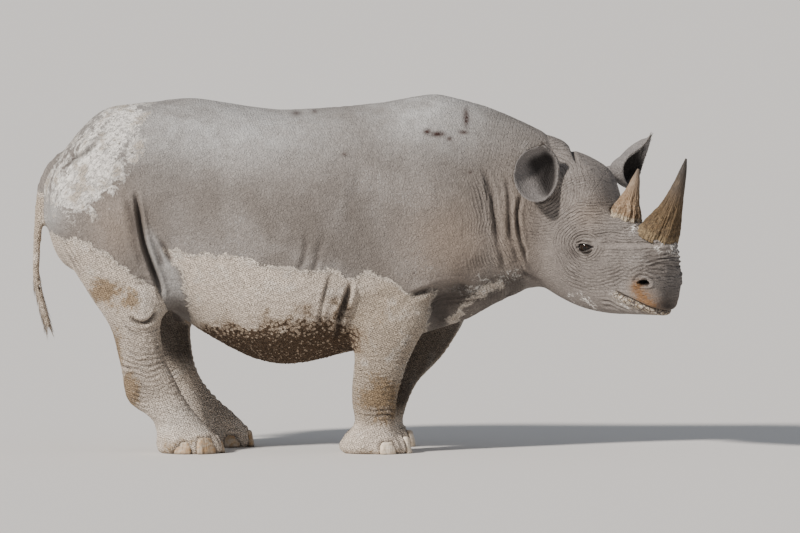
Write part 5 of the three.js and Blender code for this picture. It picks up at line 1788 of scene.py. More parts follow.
@dataclass
class Marks:
    """Where the hide is muddy, crusted or stained, and where painted shade darkens it, as numbers at each
    vertex.
    """

    mud: Array
    crust: Array
    under: Array
    ochre: Array
    snout: Array
    inner_ear: Array
    brown: Array
    pale: Array
    flecks: Array
    scab: Array
    soot: Array
    flow: Array
    lined: Array
    shade: Array
    knee: Array
    pit: Array
    wash: Array

    BELLY_LINE = ((-0.9, 0.93), (-0.84, 0.895), (-0.75, 0.878), (-0.55, 0.875), (-0.43, 0.83), (-0.25, 0.806),
                  (-0.1, 0.806), (-0.04, 0.771), (0.0, 0.786), (0.05, 0.798), (0.1, 0.786), (0.16, 0.753),
                  (0.2, 0.714), (0.25, 0.7), (0.32, 0.71), (0.5, 0.64))
    FLOOR_LINE = ((-0.69, 0.4), (-0.54, 0.455), (-0.38, 0.495), (-0.17, 0.52), (-0.04, 0.535), (0.06, 0.46))
    THIGH_LINE = ((-1.45, 0.96), (-1.34, 0.955), (-1.23, 0.935), (-1.12, 0.9), (-1.05, 0.85), (-0.99, 0.8),
                  (-0.9, 0.735), (-0.7, 0.7))
    FLANK = ((-0.99, 1.4), (-0.965, 1.2), (-0.955, 1.08), (-0.935, 0.96), (-0.905, 0.85), (-0.866, 0.745),
             (-0.84, 0.66), (-0.78, 0.5))
    BRISKET = ((0.385, 0.515), (0.43, 0.585), (0.485, 0.652), (0.56, 0.712), (0.63, 0.738))
    FLAP = ((-0.93, 1.1), (-0.885, 0.98), (-0.841, 0.892), (-0.785, 0.806), (-0.75, 0.697), (-0.735, 0.6),
            (-0.72, 0.5))
    CRUST = ((-0.99, 1.61), (-0.91, 1.58), (-0.935, 1.41), (-0.99, 1.27), (-1.05, 1.14), (-1.16, 1.05),
             (-1.27, 1.06), (-1.37, 1.11), (-1.345, 1.215), (-1.235, 1.33), (-1.135, 1.465))

    OCHRE = (
        ((0.1, 0.24, 0.243), (0.09, 0.16, 0.1), 1.45),
        ((-1.09, 0.28, 0.705), (0.085, 0.22, 0.055), 1.5),
        ((-1.0, 0.26, 0.265), (0.05, 0.2, 0.08), 1.6),
        ((-1.055, 0.26, 0.44), (0.034, 0.2, 0.13), 1.4),
        ((-1.0, 0.32, 0.665), (0.05, 0.16, 0.06), 1.0),
        ((-0.75, 0.24, 0.03), (0.13, 0.16, 0.045), 0.9),
        ((0.09, 0.24, 0.012), (0.14, 0.16, 0.02), 0.55),
        ((0.09, 0.36, 0.6), (0.05, 0.12, 0.09), 0.35),
        ((-0.62, 0.36, 0.62), (0.14, 0.14, 0.05), 0.35),
    )
    SNOUT = (
        ((0.69, -0.18, 0.1), (0.036, 0.036, 0.08), 1.5),
        ((0.725, -0.195, 0.08), (0.05, 0.042, 0.08), 1.5),
        ((0.765, -0.205, 0.06), (0.05, 0.04, 0.08), 1.4),
    )
    # Painted shade on the front of the muzzle's tip.
    PAINTED_MUZZLE_SHADE = (
        ((0.812, -0.112, 0.03), (0.036, 0.046, 0.095), 1.3),
        ((0.825, -0.165, 0.03), (0.04, 0.052, 0.095), 1.3),
    )
    BROWN = (
        ((0.42, 0.35, 0.9), (0.22, 0.3, 0.2), 1.0),
        ((0.66, 0.25, 0.96), (0.12, 0.3, 0.24), 1.0),
        ((-1.06, 0.3, 0.98), (0.11, 0.3, 0.16), 0.8),
    )
    BROWN_FACE = (((0.3, -0.08, 0.13), (0.07, 0.07, 0.12), 0.8),)
    PALE = (
        ((-0.6, 0.25, 1.42), (0.55, 0.5, 0.16), 1.0),
        ((0.3, 0.2, 1.5), (0.32, 0.4, 0.18), 1.0),
        ((-1.33, 0.1, 1.04), (0.06, 0.3, 0.09), 0.8),
    )
    PALE_FACE = (((0.3, -0.045, 0.1), (0.07, 0.07, 0.1), 0.45),)
    PALE_SHOULDER = (((0.62, -0.3, 1.0), (0.1, 0.2, 0.22), 0.35),)
    FLECKS = (
        ((0.62, 0.2, 0.76), (0.13, 0.25, 0.05), 0.8),
        ((0.5, 0.2, 0.7), (0.1, 0.25, 0.03), 1.0),
        ((0.2, 0.3, 0.4), (0.06, 0.25, 0.22), 0.5),
    )
    FLECKS_FACE = (
        ((0.66, 0.02, 0.05), (0.06, 0.05, 0.08), 1.0),
        ((0.72, 0.06, 0.05), (0.05, 0.03, 0.08), 1.0),
        ((0.47, -0.01, 0.05), (0.055, 0.045, 0.08), 0.9),
        ((0.44, -0.45, 0.08), (0.06, 0.026, 0.09), 1.0),
        ((0.505, -0.41, 0.08), (0.06, 0.026, 0.09), 1.2),
        ((0.66, -0.285, 0.09), (0.08, 0.018, 0.08), 1.0),
    )
    SCABS = (
        ((0.468, -0.25, 1.455), (0.013, 0.25, 0.042), 1.0),
        ((0.455, -0.25, 1.392), (0.02, 0.25, 0.01), 0.8),
        ((0.345, -0.3, 1.385), (0.034, 0.25, 0.013), 1.0),
        ((0.3, -0.3, 1.395), (0.018, 0.25, 0.014), 1.0),
        ((-0.06, -0.3, 1.3), (0.012, 0.25, 0.009), 0.6),
        ((0.395, -0.3, 1.365), (0.012, 0.25, 0.01), 0.8),
        ((-0.27, -0.2, 1.47), (0.022, 0.25, 0.01), 0.8),
        ((-0.19, -0.2, 1.478), (0.012, 0.25, 0.008), 0.8),
        ((0.485, -0.2, 1.22), (0.007, 0.25, 0.007), 0.7),
    )
    # Painted shade, given with y flipped so it lies mostly on the animal's right: armpit, brisket, throat,
    # between the hind legs and the elbow's pit.
    SHADE = (
        ((0.36, 0.2, 0.61), (0.052, 0.4, 0.09), 1.25),
        ((0.43, 0.2, 0.69), (0.07, 0.4, 0.045), 1.2),
        ((0.56, 0.2, 0.69), (0.1, 0.4, 0.04), 0.8),
        ((0.66, 0.2, 0.735), (0.12, 0.4, 0.045), 0.8),
        ((0.385, 0.3, 0.65), (0.075, 0.4, 0.07), 1.2),
        ((-0.775, 0.25, 0.56), (0.06, 0.3, 0.11), 0.9),
        ((-0.058, 0.3, 0.655), (0.015, 0.2, 0.055), 1.2),
    )
    # Painted shade on the muzzle and along the jaw.
    FACE_SHADE = (
        ((0.64, -0.04, 0.1), (0.07, 0.04, 0.12), 0.22),
        ((0.47, -0.389, 0.1), (0.12, 0.05, 0.14), 0.16),
    )
    PIT = (((0.385, -0.25, 0.64), (0.06, 0.2, 0.07), 1.0),)
    KNEE = (((-0.935, 0.36, 0.668), (0.055, 0.15, 0.075), 1.0),)
    WASH = (
        ((-0.79, 0.26, 0.15), (0.15, 0.16, 0.09), 1.0),
        ((0.42, 0.3, 0.6), (0.2, 0.4, 0.09), 0.5),
    )

    @property
    def mud_share(self) -> Array:
        """1 where mud covers the hide, 0 where it does not."""
        return soft_step(-0.012, 0.012, self.mud)

    @staticmethod
    def inside(flat: Array, outline: tuple[Pair, ...]) -> Array:
        """How far flat points are inside a closed outline, negative outside it."""
        corners = np.array(outline + outline[:1])
        signed, _ = along_course(flat, corners)
        within = np.zeros(len(flat), bool)
        for (x0, z0), (x1, z1) in zip(corners[:-1], corners[1:]):
            crosses = (flat[:, 1] < z0) != (flat[:, 1] < z1)
            place = x0 + (flat[:, 1] - z0) * (x1 - x0) / np.where(z1 == z0, 1e-9, z1 - z0)
            within ^= crosses & (flat[:, 0] < place)
        return np.abs(signed) * np.where(within, 1.0, -1.0)

    @staticmethod
    def spot(points: Array, middle: Triple, halves: Triple) -> Array:
        """1 in the middle of a soft oval spot, falling to 0 outside it."""
        return np.exp(-(((points - np.array(middle)) / np.array(halves)) ** 2).sum(axis=1))

    @classmethod
    def spots(cls, points: Array, rows: Spots) -> Array:
        """The strongest of several soft spots, each with its middle, its half sizes and its strength."""
        found = [amount * cls.spot(points, middle, halves) for middle, halves, amount in rows]
        return np.maximum.reduce(found)

    @classmethod
    def muddy(cls, surface: Surface, shares: dict[Region, Array]) -> tuple[Array, Array, Array]:
        """Where the mud lies.

        Args:
            surface: The skin's surface.
            shares: How much each vertex belongs to each region.

        Returns:
            How far each place is inside the mud, how bare the flank is, and the mud's rim at the brisket.
        """
        points = surface.points
        flat = points[:, [0, 2]]
        belly = np.interp(flat[:, 0], *np.array(cls.BELLY_LINE).T)
        thigh = np.interp(flat[:, 0], *np.array(cls.THIGH_LINE).T)
        signed, _ = along_course(flat, spline(np.array(cls.FLANK), np.linspace(0, 1, 30)))
        beyond, _ = along_course(flat, spline(np.array(cls.FLAP), np.linspace(0, 1, 30)))
        apart = np.where(flat[:, 1] > 0.55, beyond, 0.4)
        mud = np.where(signed < 0, thigh - flat[:, 1], np.minimum(belly - flat[:, 1], apart))
        mud = np.clip(mud, -0.4, 0.4)
        bare = soft_step(-0.02, 0.02, signed) * soft_step(0.02, -0.02, beyond)
        bare = bare * soft_step(1.02, 0.9, flat[:, 1])
        ahead = np.where(points[:, 1] > 0.0, 0.15, 0.0)
        edge = ahead + np.interp(flat[:, 1], (0.4, 0.51, 0.68, 0.74), (0.3, 0.3, 0.335, 0.36))
        rim, place = along_course(flat, np.array(cls.BRISKET))
        rim = np.where((place > 0.0) & (place < 1.0) & (flat[:, 0] > 0.36 + ahead), 0.02 - np.abs(rim), -0.3)
        mud = np.maximum(np.minimum(mud, np.where(flat[:, 1] > 0.4, edge - flat[:, 0], 0.4)), rim)
        return np.where(shares[Region.TAIL] > 0.5, 1.12 - flat[:, 1], mud), bare, rim

    @classmethod
    def wet_belly(cls, surface: Surface, shares: dict[Region, Array]) -> Array:
        """How dark the hide is beneath the belly: wet mud on its lower sides, and painted shade on the
        underside that faces down.
        """
        x, z = surface.points[:, 0], surface.points[:, 2]
        facing_down = np.maximum(-surface.normals[:, 2], 0.0)
        floor_line = np.interp(x, *np.array(cls.FLOOR_LINE).T)
        trunk = soft_step(0.3, 0.8, shares[Region.TRUNK] + shares[Region.FORELEG] * soft_step(0.42, 0.45, z))
        side = np.clip((0.185 - z + floor_line) / 0.3, 0.0, 1.0)
        side = side * trunk * soft_step(0.1, -0.08, x) * soft_step(-0.86, -0.5, x)
        # Painted shade on the underside where it faces down.
        floor = 0.8 * trunk * soft_step(0.45, 0.98, facing_down) * soft_step(0.6, 0.48, z)
        return np.clip(side + floor * soft_step(0.14, 0.02, x), 0, 1)

    @staticmethod
    def in_ears(surface: Surface, shares: dict[Region, Array]) -> Array:
        """How deep each place is in the painted shadow inside an ear."""
        points = surface.points
        inner = np.zeros(len(points))
        for ear in EARS:
            cup = ear.into(points)
            within = soft_step(1.15, 0.95, np.hypot(cup[:, 0], cup[:, 1])) * (cup[:, 2] > -0.13)
            facing = soft_step(0.0, 0.35, surface.normals @ ear.axes()[2])
            deep = soft_step(-0.02, -0.058, cup[:, 2] - 0.03 * (cup[:, 0] - 0.1))
            inner = np.maximum(inner, within * facing * deep)
        rear = points[:, 0] - EARS[0].middle[0] + 0.55 * (points[:, 2] - EARS[0].middle[2])
        ahead = np.where(points[:, 1] < 0, soft_step(-0.06, 0.01, rear), 1.0)
        return inner * (soft_step(0.15, 0.5, shares[Region.EAR]) * ahead)

    @classmethod
    def shaded(cls, surface: Surface, shares: dict[Region, Array], head: Array, rim: Array) -> Array:
        """How much painted shade darkens the hide between the legs and in its deepest creases.

        Args:
            surface: The skin's surface.
            shares: How much each vertex belongs to each region.
            head: The places in the head's own axes, both sides alike.
            rim: The mud's rim at the brisket, which stays light.

        Returns:
            The shade at each vertex.
        """
        points = surface.points
        legs = shares[Region.HINDLEG] + shares[Region.FORELEG]
        facing = -np.sign(points[:, 1]) * surface.normals[:, 1]
        inwards = soft_step(0.1, 0.6, facing) * soft_step(0.3, 0.8, legs)
        fore = soft_step(0.13, 0.2, points[:, 2]) * soft_step(-0.3, -0.2, points[:, 0])
        hind = soft_step(0.3, 0.42, points[:, 2]) * soft_step(-0.3, -0.4, points[:, 0])
        shade = inwards * np.maximum(fore, hind) * soft_step(0.78, 0.66, points[:, 2])
        shade = np.maximum(shade, cls.spots(points * np.array([1.0, -1.0, 1.0]), cls.SHADE))
        shade = np.clip(shade, 0.0, 1.0) * soft_step(0.012, -0.012, rim)
        return np.maximum(shade, cls.spots(head, cls.FACE_SHADE))

    @classmethod
    def of(cls, surface: Surface, shares: dict[Region, Array]) -> "Marks":
        """Works the marks out from each vertex's place."""
        points = surface.points
        mirrored = np.stack([points[:, 0], np.abs(points[:, 1]), points[:, 2]], axis=1)
        head = np.stack([surface.head[:, 0], surface.head[:, 1], np.abs(surface.head[:, 2])], axis=1)
        mud, bare, rim = cls.muddy(surface, shares)
        crust = np.clip(cls.inside(points[:, [0, 2]], cls.CRUST), -0.3, 0.3)
        pale = np.maximum(cls.spots(mirrored, cls.PALE), cls.spots(head, cls.PALE_FACE))
        pale = np.maximum(pale, cls.spots(points, cls.PALE_SHOULDER))
        knee = cls.spots(mirrored, cls.KNEE)
        flow, lined = cls.lines(surface, shares)
        return cls(
            mud=mud,
            crust=np.where(shares[Region.TAIL] > 0.5, -0.3, crust),
            under=cls.wet_belly(surface, shares),
            ochre=cls.spots(mirrored, cls.OCHRE),
            snout=cls.spots(head, cls.SNOUT),
            inner_ear=cls.in_ears(surface, shares),
            brown=np.maximum(cls.spots(mirrored, cls.BROWN), cls.spots(head, cls.BROWN_FACE)),
            pale=np.maximum(pale, 0.6 * bare * soft_step(0.6, 0.72, points[:, 2])),
            flecks=np.maximum(cls.spots(head, cls.FLECKS_FACE), cls.spots(mirrored, cls.FLECKS)),
            scab=cls.spots(points, cls.SCABS),
            soot=cls.spots(head, cls.PAINTED_MUZZLE_SHADE),
            flow=flow,
            lined=lined,
            shade=cls.shaded(surface, shares, head, rim),
            knee=knee,
            pit=cls.spots(points, cls.PIT),
            wash=np.maximum(knee, cls.spots(mirrored, cls.WASH)),
        )

    @staticmethod
    def lines(surface: Surface, shares: dict[Region, Array]) -> tuple[Array, Array]:
        """How the fine wrinkles run: a length that is level along each of them, and how strong they are."""
        head, points = surface.head, surface.points
        start = np.array(EYE_AT)
        way = np.array([math.cos(math.radians(SLANT)), math.sin(math.radians(SLANT))])
        offset = head[:, :2] - start
        along = np.clip(offset @ way, 0.0, 0.36)
        round_eye = np.linalg.norm(offset - along[:, None] * way, axis=1)
        face = soft_step(0.35, 0.75, shares[Region.HEAD])
        before = soft_step(0.055, 0.11, offset @ way) * soft_step(0.003, 0.012, round_eye)
        below = np.maximum(soft_step(0.03, 0.045, round_eye), before)
        cheek = face * soft_step(0.28, 0.13, round_eye) * below
        cheek *= soft_step(0.14, 0.24, head[:, 0]) * soft_step(-0.2, -0.07, offset @ way)
        root = HEAD.into(np.array([EARS[0].root]))[0]
        round_ear = np.hypot(head[:, 0] - root[0], head[:, 1] - root[1] + 0.02)
        temple = face * soft_step(0.275, 0.18, round_ear) * soft_step(0.3, 0.19, head[:, 0])
        down = points[:, 0] + 0.1 * points[:, 2] + 0.05 * np.sin(points[:, 2] * 7.0)
        neck = soft_step(0.3, 0.7, shares[Region.NECK]) * soft_step(0.46, 0.58, points[:, 0])
        neck *= 1.0 - soft_step(0.3, 0.7, shares[Region.HEAD])
        legs = shares[Region.HINDLEG] + shares[Region.FORELEG]
        rings = soft_step(0.3, 0.7, legs) * soft_step(0.66, 0.5, points[:, 2])
        level = points[:, 2] + 0.15 * points[:, 0]
        choices = np.stack([cheek, temple * 0.85, neck * 0.7, rings * 0.45])
        best = choices.argmax(axis=0)
        flow = np.choose(best, [round_eye, round_ear, down, level])
        return flow, choices.max(axis=0)

    def store(self, mesh: Mesh) -> None:
        """Puts the marks on the skin's mesh under their names."""
        for mark in fields(self):
            if mark.name not in ("knee", "pit"):
                put_attribute(mesh, mark.name, getattr(self, mark.name))


# ------------------------------------------------------------------ horns, eyes, nails and hair


@dataclass
class Horn:
    """One horn: a fibrous cone with a ragged foot."""

    shape: HornShape
    finish: HornFinish
    sides: int = 300
    rings: int = 170
    fibre: float = 0.0026
    seed: int = 11

    def build(self) -> Piece:
        """Makes the horn in the place of its solid."""
        sides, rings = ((self.sides, self.rings))
        shape = self.shape
        foot, tip = np.array(shape.foot), np.array(shape.tip)
        way = shape.axis()
        ahead = np.array([way[1], -way[0]])
        length = float(np.linalg.norm(tip - foot))
        low = -shape.sunk / length
        share = low + (1.0 - low) * np.linspace(0.0, 1.0, rings) ** 0.92
        above = np.clip(share, 0.0, 1.0)
        along = np.interp(above, shape.shares, shape.along)
        across = np.interp(above, shape.shares, shape.across)
        kernel = np.hanning(15) / np.hanning(15).sum()
        along, across = (
            np.convolve(np.pad(row, 7, mode="reflect", reflect_type="odd"), kernel, "valid")
            for row in (along, across)
        )
        centre = foot + (tip - foot) * share[:, None] + ahead * (4 * shape.bow * above * (1 - above))[:, None]
        turn = np.linspace(0.0, 2 * math.pi, sides, endpoint=False)
        ring = np.stack([np.cos(turn), np.sin(turn)], axis=1)
        ring_at = np.broadcast_to(ring, (rings, sides, 2)).reshape(-1, 2)
        rise = np.repeat(above, sides)
        size = np.repeat((along + across) / 2, sides)
        lean = ring_at + 0.1 * np.repeat(share, sides)[:, None]
        fibres = Noise(self.seed)(np.column_stack([lean * 0.75, rise * 0.55]), 0.05, 3)
        strands = Noise(self.seed + 1)(np.column_stack([lean, rise * 0.4]), 0.22, 3)
        frayed = np.exp(-rise / 0.06)
        calm = 1.0 - 0.8 * soft_step(0.25, 0.75, rise)
        relief = self.fibre * calm * (fibres + 0.9 * strands)
        relief += 0.0035 * frayed * (0.15 + fibres * 0.6 + strands * 0.6)
        relief += 0.0045 * (1.0 - soft_step(0.15, 0.6, rise)) * strands
        relief = np.where(rise > 0.985, 0.0, relief) * np.minimum(size / 0.03, 1.0)
        reach_a = np.repeat(along, sides) + relief
        reach_b = np.repeat(across, sides) + relief
        flat = np.repeat(centre, sides, axis=0) + ahead * (reach_a * ring_at[:, 0])[:, None]
        points = HEAD.out_of(np.column_stack([flat, reach_b * ring_at[:, 1]]))
        ends = HEAD.out_of(np.column_stack([centre[[0, -1]], [0.0, 0.0]]))
        quads = tube(rings, sides).tolist()
        first, last, top = rings * sides, rings * sides + 1, (rings - 1) * sides
        for number in range(sides):
            after = (number + 1) % sides
            quads.append((first, after, number))
            quads.append((last, top + number, top + after))
        mesh = mesh_from(shape.node, np.vstack([points, ends]), quads)
        put_attribute(mesh, "rise", np.append(rise, (0.0, 1.0)))
        for name, values in zip(("round_x", "round_y"), ring_at.T):
            put_attribute(mesh, name, np.append(values, (0.0, 0.0)))
        return dressed(f"shown_{shape.node}", outward(mesh), self.finish.build(), (shape.node,))


@dataclass
class Eyes:
    """Both eyeballs, with a slightly raised clear front."""

    gaze: Triple = (0.3, 0.05, 0.95)
    bulge: float = 0.035
    finish: EyeFinish = EyeFinish()

    def build(self) -> list[Piece]:
        """Makes both eyes in the places of their solids."""
        material = self.finish.build()
        rows = HEAD.rows()
        made = []
        for name, side in zip(EYES, (1.0, -1.0)):
            work = bmesh.new()
            bmesh.ops.create_uvsphere(work, u_segments=96, v_segments=64, radius=1.0)
            mesh = settled(work, name)
            ball = points_of(mesh)
            gaze = unit(np.array([self.gaze[0], self.gaze[1], self.gaze[2] * side])) @ rows
            level = unit(np.cross(np.array([0.0, 0.0, 1.0]), gaze))
            up = np.cross(gaze, level)
            ahead = ball @ gaze
            reach = np.arccos(np.clip(ahead, -1.0, 1.0))
            beside, above = ball @ level, ball @ up
            slit = np.where(ahead > 0, np.hypot(beside * 0.75, above * 1.1), 2.0)
            centre = HEAD.out_of([*EYE_AT, EYE_OUT * side])
            put_points(mesh, centre + ball * (EYE_RADIUS * (1.0 + self.bulge * bell(reach, 0.5)))[:, None])
            put_attribute(mesh, "reach", reach)
            put_attribute(mesh, "slit", slit)
            made.append(dressed(f"shown_{name}", mesh, material, (name,)))
        return made


@dataclass
class Nails:
    """The twelve nails, rounded over and ridged."""

    cell: float = 0.004
    hold: float = 0.02
    steps: int = 60
    finish: NailFinish = NailFinish()
    muddy: NailFinish = NailFinish(
        "muddy_nail_finish", (0.64, 0.52, 0.39), (0.74, 0.64, 0.52), (0.36, 0.29, 0.215)
    )

    def build(self) -> list[Piece]:
        """Makes each nail in the place of its solid."""
        clean, muddy = self.finish.build(), self.muddy.build()
        made = []
        for name in NAILS:
            mesh = Grid(self.cell * (1.0), ()).lay(node_mesh(name))
            net = Net.of(mesh)
            put_points(mesh, net.faired(points_of(mesh), np.full(len(mesh.vertices), self.hold), self.steps))
            mesh = with_modifier(mesh, "SUBSURF", levels=1)
            points, normals = points_of(mesh), normals_of(mesh)
            height = 0.001 * Noise(21)(points * np.array([1.0, 1.0, 0.2]), 0.009, 2)
            height += 0.0009 * Noise(22)(points * np.array([0.2, 0.2, 1.0]), 0.01, 2)
            height += 0.0016 * Noise(23)(points, 0.03)
            points = points + normals * height[:, None]
            points[:, 2] = np.maximum(points[:, 2], CLEARANCE)
            put_points(mesh, points)
            finish = muddy if "forefoot" in name else clean
            made.append(dressed(f"shown_{name}", mesh, finish, (name,)))
        return made


@dataclass(frozen=True)
class Strands:
    """Hairs to grow: where each starts, which way it goes, which way it bends, and its sizes."""

    roots: Array
    ways: Array
    bends: Array
    lengths: Array
    halves: Array


@dataclass
class Hairs:
    """One piece of coat: tapered solid tufts rooted in the skin."""

    name: str
    strands: Strands
    finish: HairFinish
    sides: int = 5
    rings: int = 7
    patch: float = 0.003
    seed: int = 31

    def build(self, skin: Piece) -> Piece:
        """Grows the hairs.

        Args:
            skin: The finished skin, whose unwrap and dirt they take on.

        Returns:
            The piece of coat.
        """
        chance = np.random.default_rng(self.seed)
        strands = self.strands
        count = len(strands.roots)
        share = np.linspace(0.0, 1.0, self.rings)
        turn = np.linspace(0.0, 2 * math.pi, self.sides, endpoint=False)
        way = unit(strands.ways)
        beside = unit(np.cross(way, strands.bends + chance.normal(0, 0.05, (count, 3))))
        above = np.cross(beside, way)
        length = strands.lengths[:, None, None]
        line = strands.roots[:, None] + length * (
            way[:, None] * share[None, :, None] + strands.bends[:, None] * (share**2)[None, :, None]
        )
        half = strands.halves[:, None] * np.maximum((1.0 - share[None]) ** 0.75, 0.06)
        ring = beside[:, None, None] * np.cos(turn)[None, None, :, None]
        ring = ring + above[:, None, None] * np.sin(turn)[None, None, :, None]
        points = line[:, :, None] + ring * half[:, :, None, None]
        each = self.rings * self.sides
        starts = np.arange(count)[:, None] * each
        faces = (starts[:, None] + tube(self.rings, self.sides)[None]).reshape(-1, 4).tolist()
        faces += (starts + np.arange(self.sides)[::-1]).tolist()
        faces += (starts + np.arange(self.sides) + each - self.sides).tolist()
        mesh = mesh_from(self.name, points.reshape(-1, 3), faces)
        put_attribute(mesh, "rise", np.tile(np.repeat(share, self.sides), count))
        put_attribute(mesh, "tone", np.repeat(chance.random(count), each))
        places, dirt = self.rooted(skin)
        put_attribute(mesh, "mud", np.repeat(dirt, each))
        grid = np.meshgrid(share - 0.5, turn / (2 * math.pi) - 0.5, indexing="ij")
        spread = np.stack(grid, axis=-1).reshape(-1, 2)
        spots = (places[:, None] + spread[None] * self.patch).reshape(-1, 2)
        corners = numbers(mesh.loops, "vertex_index", 1, np.int32)
        layer = mesh.uv_layers.new(name=BAKE_MAP)
        layer.data.foreach_set("uv", spots[corners].astype(np.float32).ravel())
        return dressed(self.name, mesh, self.finish.build())

    def rooted(self, skin: Piece) -> tuple[Array, Array]:
        """Where each root lies on the skin's unwrap, and how muddy the skin is there."""
        mesh = skin.data
        points = points_of(mesh)
        roots = self.strands.roots
        low, high = roots.min(axis=0) - 0.05, roots.max(axis=0) + 0.05
        near = np.flatnonzero(np.all((points > low) & (points < high), axis=1))
        tree = tree_of(points[near])
        found = near[[tree.find(root)[1] for root in roots]]
        corners = numbers(mesh.loops, "vertex_index", 1, np.int32)
        first = np.zeros(len(points), np.int64)
        first[corners[::-1]] = np.arange(len(corners))[::-1]
        places = numbers(mesh.uv_layers[BAKE_MAP].uv, "vector", 2)[first[found]]
        return places, soft_step(-0.01, 0.01, attribute_of(mesh, "mud")[found])


@dataclass
class Coat:
    """The little hair there is: fringes on the ears, bristles at the tail's tip and lashes."""

    ear_hairs: int = 420
    tail_hairs: int = 300
    lash_hairs: int = 70
    seed: int = 41

    def ears(self) -> Strands:
        """Short hairs along the rims of both ears, longest at their tips."""
        chance = np.random.default_rng(self.seed)
        rows = []
        for ear in EARS:
            turn = np.clip(chance.normal(0.0, 0.95, self.ear_hairs), -2.5, 2.5)
            root, out, along = ear.rim(turn)
            way = unit(0.5 * out + 0.85 * along + chance.normal(0.0, 0.2, (self.ear_hairs, 3)))
            near_tip = np.exp(-((turn / 0.35) ** 2))
            size = 0.007 + 0.008 * chance.random(self.ear_hairs) + 0.012 * near_tip
            bend = 0.2 * along + np.array([0, 0, -0.06])
            rows.append((root, way, bend, size, np.full(self.ear_hairs, 0.0006)))
        return Strands(*(np.concatenate(part) for part in zip(*rows)))

    def tail(self) -> Strands:
        """Long bristles down both edges of the tail's last part."""
        chance = np.random.default_rng(self.seed + 1)
        line = np.array([(-1.4035, 0.018, 0.783), (-1.3935, 0.018, 0.696), (-1.3705, 0.018, 0.609),
                         (-1.3505, 0.018, 0.53)])
        share = chance.random(self.tail_hairs) ** 0.7
        at = spline(line, share)
        way = unit(spline(line, share + 1e-3) - spline(line, share - 1e-3))
        across = np.array([0.0, 1.0, 0.0])
        ahead = np.cross(across, way)
        angle = chance.normal(0.0, 0.55, self.tail_hairs)
        angle = angle + np.where(chance.random(self.tail_hairs) < 0.5, 0.0, math.pi)
        out = ahead * np.cos(angle)[:, None] + across * np.sin(angle)[:, None]
        half = np.interp(share, (0.0, 0.8, 1.0), (0.0145, 0.0125, 0.0055))[:, None]
        roots = at + out * half * 0.9
        ways = unit(way + out * (0.16 + 0.14 * chance.random(self.tail_hairs))[:, None]
                    + chance.normal(0.0, 0.05, (self.tail_hairs, 3)))
        lengths = 0.018 + 0.022 * chance.random(self.tail_hairs) + 0.016 * share
        bends = np.tile(np.array([0.03, 0.0, -0.14]), (self.tail_hairs, 1))
        return Strands(roots, ways, bends, lengths, np.full(self.tail_hairs, 0.00085))

    def lashes(self) -> Strands:
        """Lashes on the edges of the upper lids."""
        chance = np.random.default_rng(self.seed + 2)
        rows = HEAD.rows()
        tilt = math.radians(SLANT)
        made = []
        for side in (1.0, -1.0):
            a = 0.026 * (2.0 * chance.random(self.lash_hairs) - 1.0)
            b = 0.014 * np.sqrt(np.maximum(1.0 - (a / 0.031) ** 2, 0.0)) + 0.0015
            u = EYE_AT[0] + a * math.cos(tilt) - b * math.sin(tilt)
            v = EYE_AT[1] + a * math.sin(tilt) + b * math.cos(tilt)
            reach = np.hypot(a, b)
            w = side * (EYE_OUT + np.sqrt(np.maximum(0.033**2 - reach**2, 0.0)))
            roots = HEAD.out_of(np.column_stack([u, v, w]))
            slope = (a / 0.031)[:, None]
            along = math.cos(tilt) * rows[0] + math.sin(tilt) * rows[1]
            upward = math.cos(tilt) * rows[1] - math.sin(tilt) * rows[0]
            ways = side * rows[2] * 0.9 - upward * 0.25 + along * slope * 0.5
            ways = ways + chance.normal(0, 0.1, (len(a), 3))
            bends = np.tile(upward * 0.2 + np.array([0.0, 0.0, -0.05]), (len(a), 1))
            sizes = 0.009 + 0.008 * chance.random(self.lash_hairs)
            made.append((roots, ways, bends, sizes, np.full(len(a), 0.0004)))
        return Strands(*(np.concatenate(part) for part in zip(*made)))

    def build(self, skin: Piece) -> None:
        """Grows all the hair on the skin."""
        ear_look = HairFinish("ear_hair_finish", (0.03, 0.024, 0.02), (0.11, 0.085, 0.065))
        tail_look = HairFinish("tail_hair_finish", (0.08, 0.062, 0.048), (0.3, 0.24, 0.185))
        lash_look = HairFinish("lash_finish", (0.015, 0.012, 0.01), (0.05, 0.04, 0.032))
        Hairs("coat_ears", self.ears(), ear_look).build(skin)
        Hairs("coat_tail", self.tail(), tail_look).build(skin)
        Hairs("coat_lashes", self.lashes(), lash_look, sides=4, rings=5).build(skin)


# ------------------------------------------------------------------ floor, light and camera


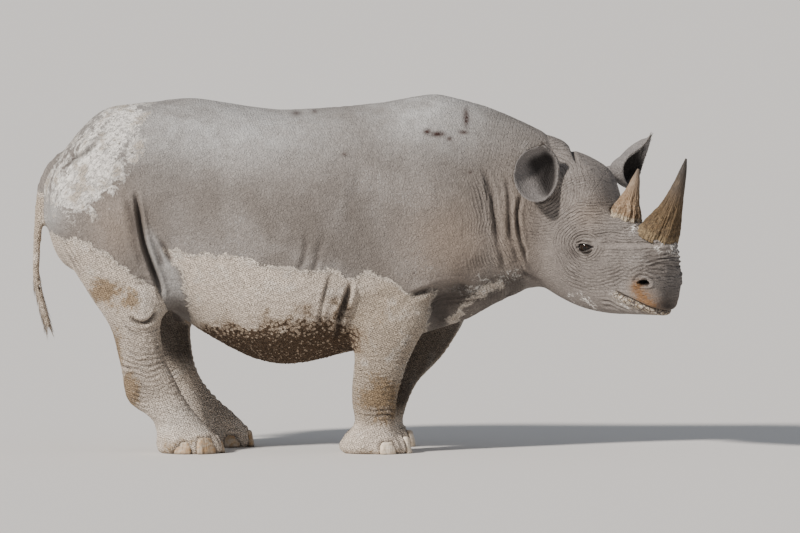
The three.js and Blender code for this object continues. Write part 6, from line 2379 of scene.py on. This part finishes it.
@dataclass
class Studio:
    """A plain pale floor, soft light and the camera."""

    middle: Triple = (0.181, 0.0, 0.799)
    width: float = 3.48
    away: float = 60.0
    rise: float = 3.0
    sensor: float = 36.0
    floor_half: float = 500.0
    floor_colour: Triple = (0.72, 0.69, 0.66)
    sun_from: Triple = (-0.82, -0.8, 0.76)
    sun_strength: float = 5.6
    sun_spread: float = 6.0
    sky_colour: Triple = (0.8, 0.86, 0.95)
    sky_strength: float = 0.4

    def floor(self) -> None:
        """The floor, which reaches past the horizon."""
        half = self.floor_half
        corners = [(-half, -half, 0), (half, -half, 0), (half, half, 0), (-half, half, 0)]
        mesh = mesh_from("floor", corners, [(0, 1, 2, 3)])
        piece = shown("floor", mesh)
        nodes = Nodes("floor_paint")
        nodes.feed(nodes.shader.inputs["Base Color"], self.floor_colour)
        nodes.feed(nodes.shader.inputs["Roughness"], 0.9)
        mesh.materials.append(nodes.material)

    def light(self) -> None:
        """One broad light from the upper left of the camera's side, and an even sky."""
        lamp = bpy.data.lights.new("key", "SUN")
        lamp.energy = self.sun_strength
        lamp.angle = math.radians(self.sun_spread)
        lamp.color = (1.0, 0.955, 0.9)
        holder = bpy.data.objects.new("key", lamp)
        holder.rotation_mode = "QUATERNION"
        holder.rotation_quaternion = Vector(self.sun_from).to_track_quat("Z", "Y")
        bpy.context.scene.collection.objects.link(holder)
        world = bpy.data.worlds.new("sky")
        world.use_nodes = True
        back = world.node_tree.nodes["Background"]
        back.inputs["Color"].default_value = (*self.sky_colour, 1.0)
        back.inputs["Strength"].default_value = self.sky_strength
        bpy.context.scene.world = world

    def camera(self) -> None:
        """The camera, far off at the animal's right side."""
        lens = bpy.data.cameras.new("camera")
        lens.sensor_width = self.sensor
        lens.lens = self.sensor * self.away / self.width
        lens.clip_start, lens.clip_end = 1.0, 1000.0
        holder = bpy.data.objects.new("camera", lens)
        rise = math.radians(self.rise)
        back = Vector((0.0, -math.cos(rise), math.sin(rise)))
        holder.location = Vector(self.middle) + back * self.away
        holder.rotation_mode = "QUATERNION"
        holder.rotation_quaternion = back.to_track_quat("Z", "Y")
        bpy.context.scene.collection.objects.link(holder)
        bpy.context.scene.camera = holder

    def build(self) -> None:
        """Sets all of it up."""
        self.floor()
        self.light()
        self.camera()
        LOG.info("the studio is lit")


def main() -> None:
    """Builds the whole animal, the floor, the light and the camera."""
    logging.basicConfig(level=logging.INFO)
    skin = Skin(Cage()).build()
    front = HornFinish("front_horn_finish", (0.26, 0.185, 0.1), (0.098, 0.058, 0.023), (0.08, 0.055, 0.035),
                       (0.014, 0.01, 0.008), 0.46)
    rear = HornFinish("rear_horn_finish", (0.5, 0.42, 0.31), (0.27, 0.17, 0.095), (0.21, 0.145, 0.095),
                      (0.12, 0.085, 0.06), 0.75)
    Horn(FRONT_HORN, front).build()
    Horn(REAR_HORN, rear, seed=14).build()
    Eyes().build()
    Nails().build()
    Coat().build(skin)
    Studio().build()


if __name__ == "__main__":
    main()
